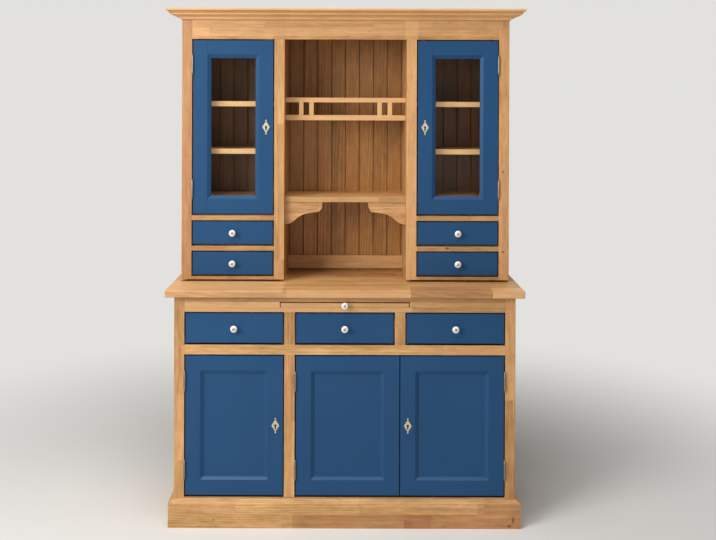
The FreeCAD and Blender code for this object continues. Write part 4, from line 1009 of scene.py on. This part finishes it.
knob_screw_pattern = turned(
    "knob_screw_pattern", [(0.0057, 0.0248), (0.0057, 0.026), (0.0052, 0.0266), (0.0036, 0.0271), (0.0014, 0.0273)], 24
)
cut_slot(knob_screw_pattern, 0.0014, 0.0011)
lock_screw_pattern = turned("lock_screw_pattern", [(0.003, 0), (0.003, 0.0004), (0.0024, 0.0009), (0.0012, 0.0012)], 20)
cut_slot(lock_screw_pattern, 0.0007, 0.0006)
pin_pattern = turned("pin_pattern", [(0.0014, 0), (0.0014, 0.0002), (0.001, 0.0005), (0.0004, 0.0007)], 12)
for pattern, material in ((knob_screw_pattern, steel), (lock_screw_pattern, steel), (pin_pattern, nickel)):
    pattern.data.materials.append(material)
    print(pattern.name, len(pattern.data.polygons), "faces")

# %% [markdown]
# A pattern is copied with its own mesh, turned and moved to its place, and the turn and the place are then applied
# to the mesh. The pattern points up; a quarter turn about x makes it point to the front, and a turn about y then
# spins it. No fitter lines up the slots of screws, so each screw has a spin of its own.

# %% Knobs on the drawers
def placed_copy(pattern, name, spot, turn):
    """A copy of a pattern with its own mesh, its place and turn applied."""
    piece = pattern.copy()
    piece.data = pattern.data.copy()
    piece.name = piece.data.name = name
    bpy.context.collection.objects.link(piece)
    piece.location, piece.rotation_euler = spot, turn
    work_on(piece)
    bpy.ops.object.transform_apply()
    return piece


knobs = [node for node in frame["nodes"] if finish_of[node] == "porcelain"]
for node in sorted(knobs):
    low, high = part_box(node)
    spot = ((low[0] + high[0]) / 2, high[1], (low[2] + high[2]) / 2)
    knob = placed_copy(knob_pattern, node + "_turned", spot, (QUARTER, 0, 0))
    screw = placed_copy(knob_screw_pattern, node + "_screw", spot, (QUARTER, chooser.uniform(0, math.pi), 0))
    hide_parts(node)
    for piece, slot in ((knob, "porcelain"), (screw, "hardware")):
        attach(piece, body_of[node])
print("knobs:", len(knobs))

# %% [markdown]
# Each lock shows as a lozenge plate with a keyhole. Keys wear it wide, so the opening is filed wider here: the points
# round it move away from its middle, in a copy of the door's fittings, and the rest stays.

# %% Wider keyholes
REACH_X, REACH_Z = 0.0045, 0.0125
KEYHOLE_MIDDLE = -0.002
GROWTH_X, GROWTH_Z = 1.3, 1.25
for door in LOCKED_DOORS:
    node = door + "_fittings"
    piece = merged_copy(node + "_filed", split_into_boards(node))
    key = key_place(door)
    filed = 0
    for vertex in piece.data.vertices:
        spot = vertex.co - key
        if abs(spot.x) < REACH_X and spot.y < HAIR and abs(spot.z) < REACH_Z:
            vertex.co.x = key.x + spot.x * GROWTH_X
            vertex.co.z = key.z + KEYHOLE_MIDDLE + (spot.z - KEYHOLE_MIDDLE) * GROWTH_Z
            filed += 1
    piece.data.materials.append(nickel)
    work_on(piece)
    bpy.ops.object.shade_smooth_by_angle(angle=math.radians(30))
    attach(piece, body_of[node])
    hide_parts(node)
    print(node, "points filed:", filed)

# %% [markdown]
# A keyhole is black inside, because it lies in shade. That shade is painted: a thin dark leaf in the shape of the
# keyhole, a round piece joined with an upright one, lies on the door behind the plate's opening. Two pins hold the
# plate, and four screws hold the lock's case inside the door.

# %% Keyhole leaves, pins and lock screws
PLATE_THICKNESS = 0.0015
PIN_HEIGHT = 0.0286
LOCK_INSET, LOCK_WIDTH, LOCK_HEIGHT = 0.002, 0.045, 0.060
SCREW_MARGIN = 0.006
HOLE_RADIUS, LEAF, LEAF_RISE = 0.005, 0.0003, 0.0005
SLIT_WIDTH, SLIT_HEIGHT, SLIT_DROP = 0.0057, 0.0148, 0.0075

keyhole_pattern = turned("keyhole_pattern", [(HOLE_RADIUS, 0), (HOLE_RADIUS, LEAF)], 24)
use_block(keyhole_pattern, (0, -SLIT_DROP, LEAF / 2), (SLIT_WIDTH, SLIT_HEIGHT, LEAF), "UNION")
keyhole_pattern.data.materials.append(dark)

for door in LOCKED_DOORS:
    edge, inward = lock_side(door)
    key = key_place(door)
    spot = (key.x, key.y, key.z + LEAF_RISE)
    pieces = [placed_copy(keyhole_pattern, door + "_keyhole", spot, (QUARTER, 0, 0))]
    for word, side in (("upper", 1), ("lower", -1)):
        spot = (key.x, key.y - PLATE_THICKNESS, key.z + side * PIN_HEIGHT)
        pieces.append(placed_copy(pin_pattern, f"{door}_{word}_pin", spot, (QUARTER, 0, 0)))
    case_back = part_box(door + "_fittings")[1][1]
    screw_x = [edge + inward * (LOCK_INSET + SCREW_MARGIN), edge + inward * (LOCK_INSET + LOCK_WIDTH - SCREW_MARGIN)]
    reach_up = LOCK_HEIGHT / 2 - SCREW_MARGIN
    for number, (x, z) in enumerate((x, key.z + side * reach_up) for x in screw_x for side in (1, -1)):
        spot = (x, case_back, z)
        turn = (-QUARTER, chooser.uniform(0, math.pi), 0)
        pieces.append(placed_copy(lock_screw_pattern, f"{door}_lock_screw_{number + 1}", spot, turn))
    for piece in pieces:
        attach(piece, body_of[door + "_frame"])
for pattern in (knob_pattern, knob_screw_pattern, lock_screw_pattern, pin_pattern, keyhole_pattern):
    bpy.data.objects.remove(pattern)
print("locks dressed:", len(LOCKED_DOORS))

# %% [markdown]
# The floor is a large pale plane, and the world behind it is just as pale. The world is brighter to the camera than
# to the object, so that the background is light without washing out the colours. Metal and glass see it too. Far
# from the buffet the floor takes the colour of the world, so that no horizon shows, and near it it keeps the shadow.

# %% Floor and background
BACKGROUND = seen(226, 225, 222)
FADE_FROM, FADE_TO = 0.9, 3.2


def looking_rays(tree):
    """1 for the rays that look at a surface, in a reflection or through a pane, 0 for those that light it."""
    rays = add(tree, "LightPath").outputs
    seen_in = maths(tree, "MAXIMUM", rays["Is Glossy Ray"], rays["Is Transmission Ray"])
    looking = maths(tree, "MAXIMUM", rays["Is Camera Ray"], seen_in)
    return maths(tree, "SUBTRACT", looking, rays["Diffuse Depth"], clamp=True)


bpy.ops.mesh.primitive_plane_add(size=ROOM_SIZE, location=(0, 8, 0))
floor = bpy.context.object
floor.name = "floor"
floor_material, tree, shader = new_material("floor_pale", Roughness=0.75)
position = add(tree, "NewGeometry").outputs["Position"]
pale = blend_colours(tree, noise(tree, position, 1.2, 3.0), seen(224, 222, 218), seen(232, 230, 226))
wire(tree, shader.inputs["Base Color"], pale)
away = ramp(tree, vectors(tree, "LENGTH", position), FADE_FROM, FADE_TO)
share = maths(tree, "MULTIPLY", away, looking_rays(tree))
glow = add(tree, "Emission", {"Color": BACKGROUND})
both = add(tree, "MixShader", {0: share, 1: shader.outputs[0], 2: glow.outputs[0]})
wire(tree, tree.nodes["Material Output"].inputs["Surface"], both.outputs[0])
floor.data.materials.append(floor_material)
floor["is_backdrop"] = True

ROOM_STRENGTH = 0.18
world = bpy.data.worlds.new("soft_room")
bpy.context.scene.world = world
world.use_nodes = True
tree = world.node_tree
background = tree.nodes["Background"]
looking = looking_rays(tree)
wire(tree, background.inputs["Color"], blend_colours(tree, looking, (1.0, 0.985, 0.965, 1), BACKGROUND))
wire(tree, background.inputs["Strength"], scaled(tree, looking, 1.0 - ROOM_STRENGTH, ROOM_STRENGTH))
bpy.context.scene.view_settings.view_transform = "Standard"
print("floor and world ready")

# %% [markdown]
# The last cell takes the box of the dressed buffet. It should be the same as the CAD model's, because nothing here
# changes the buffet's size.

# %% Sizes and finish
low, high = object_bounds()
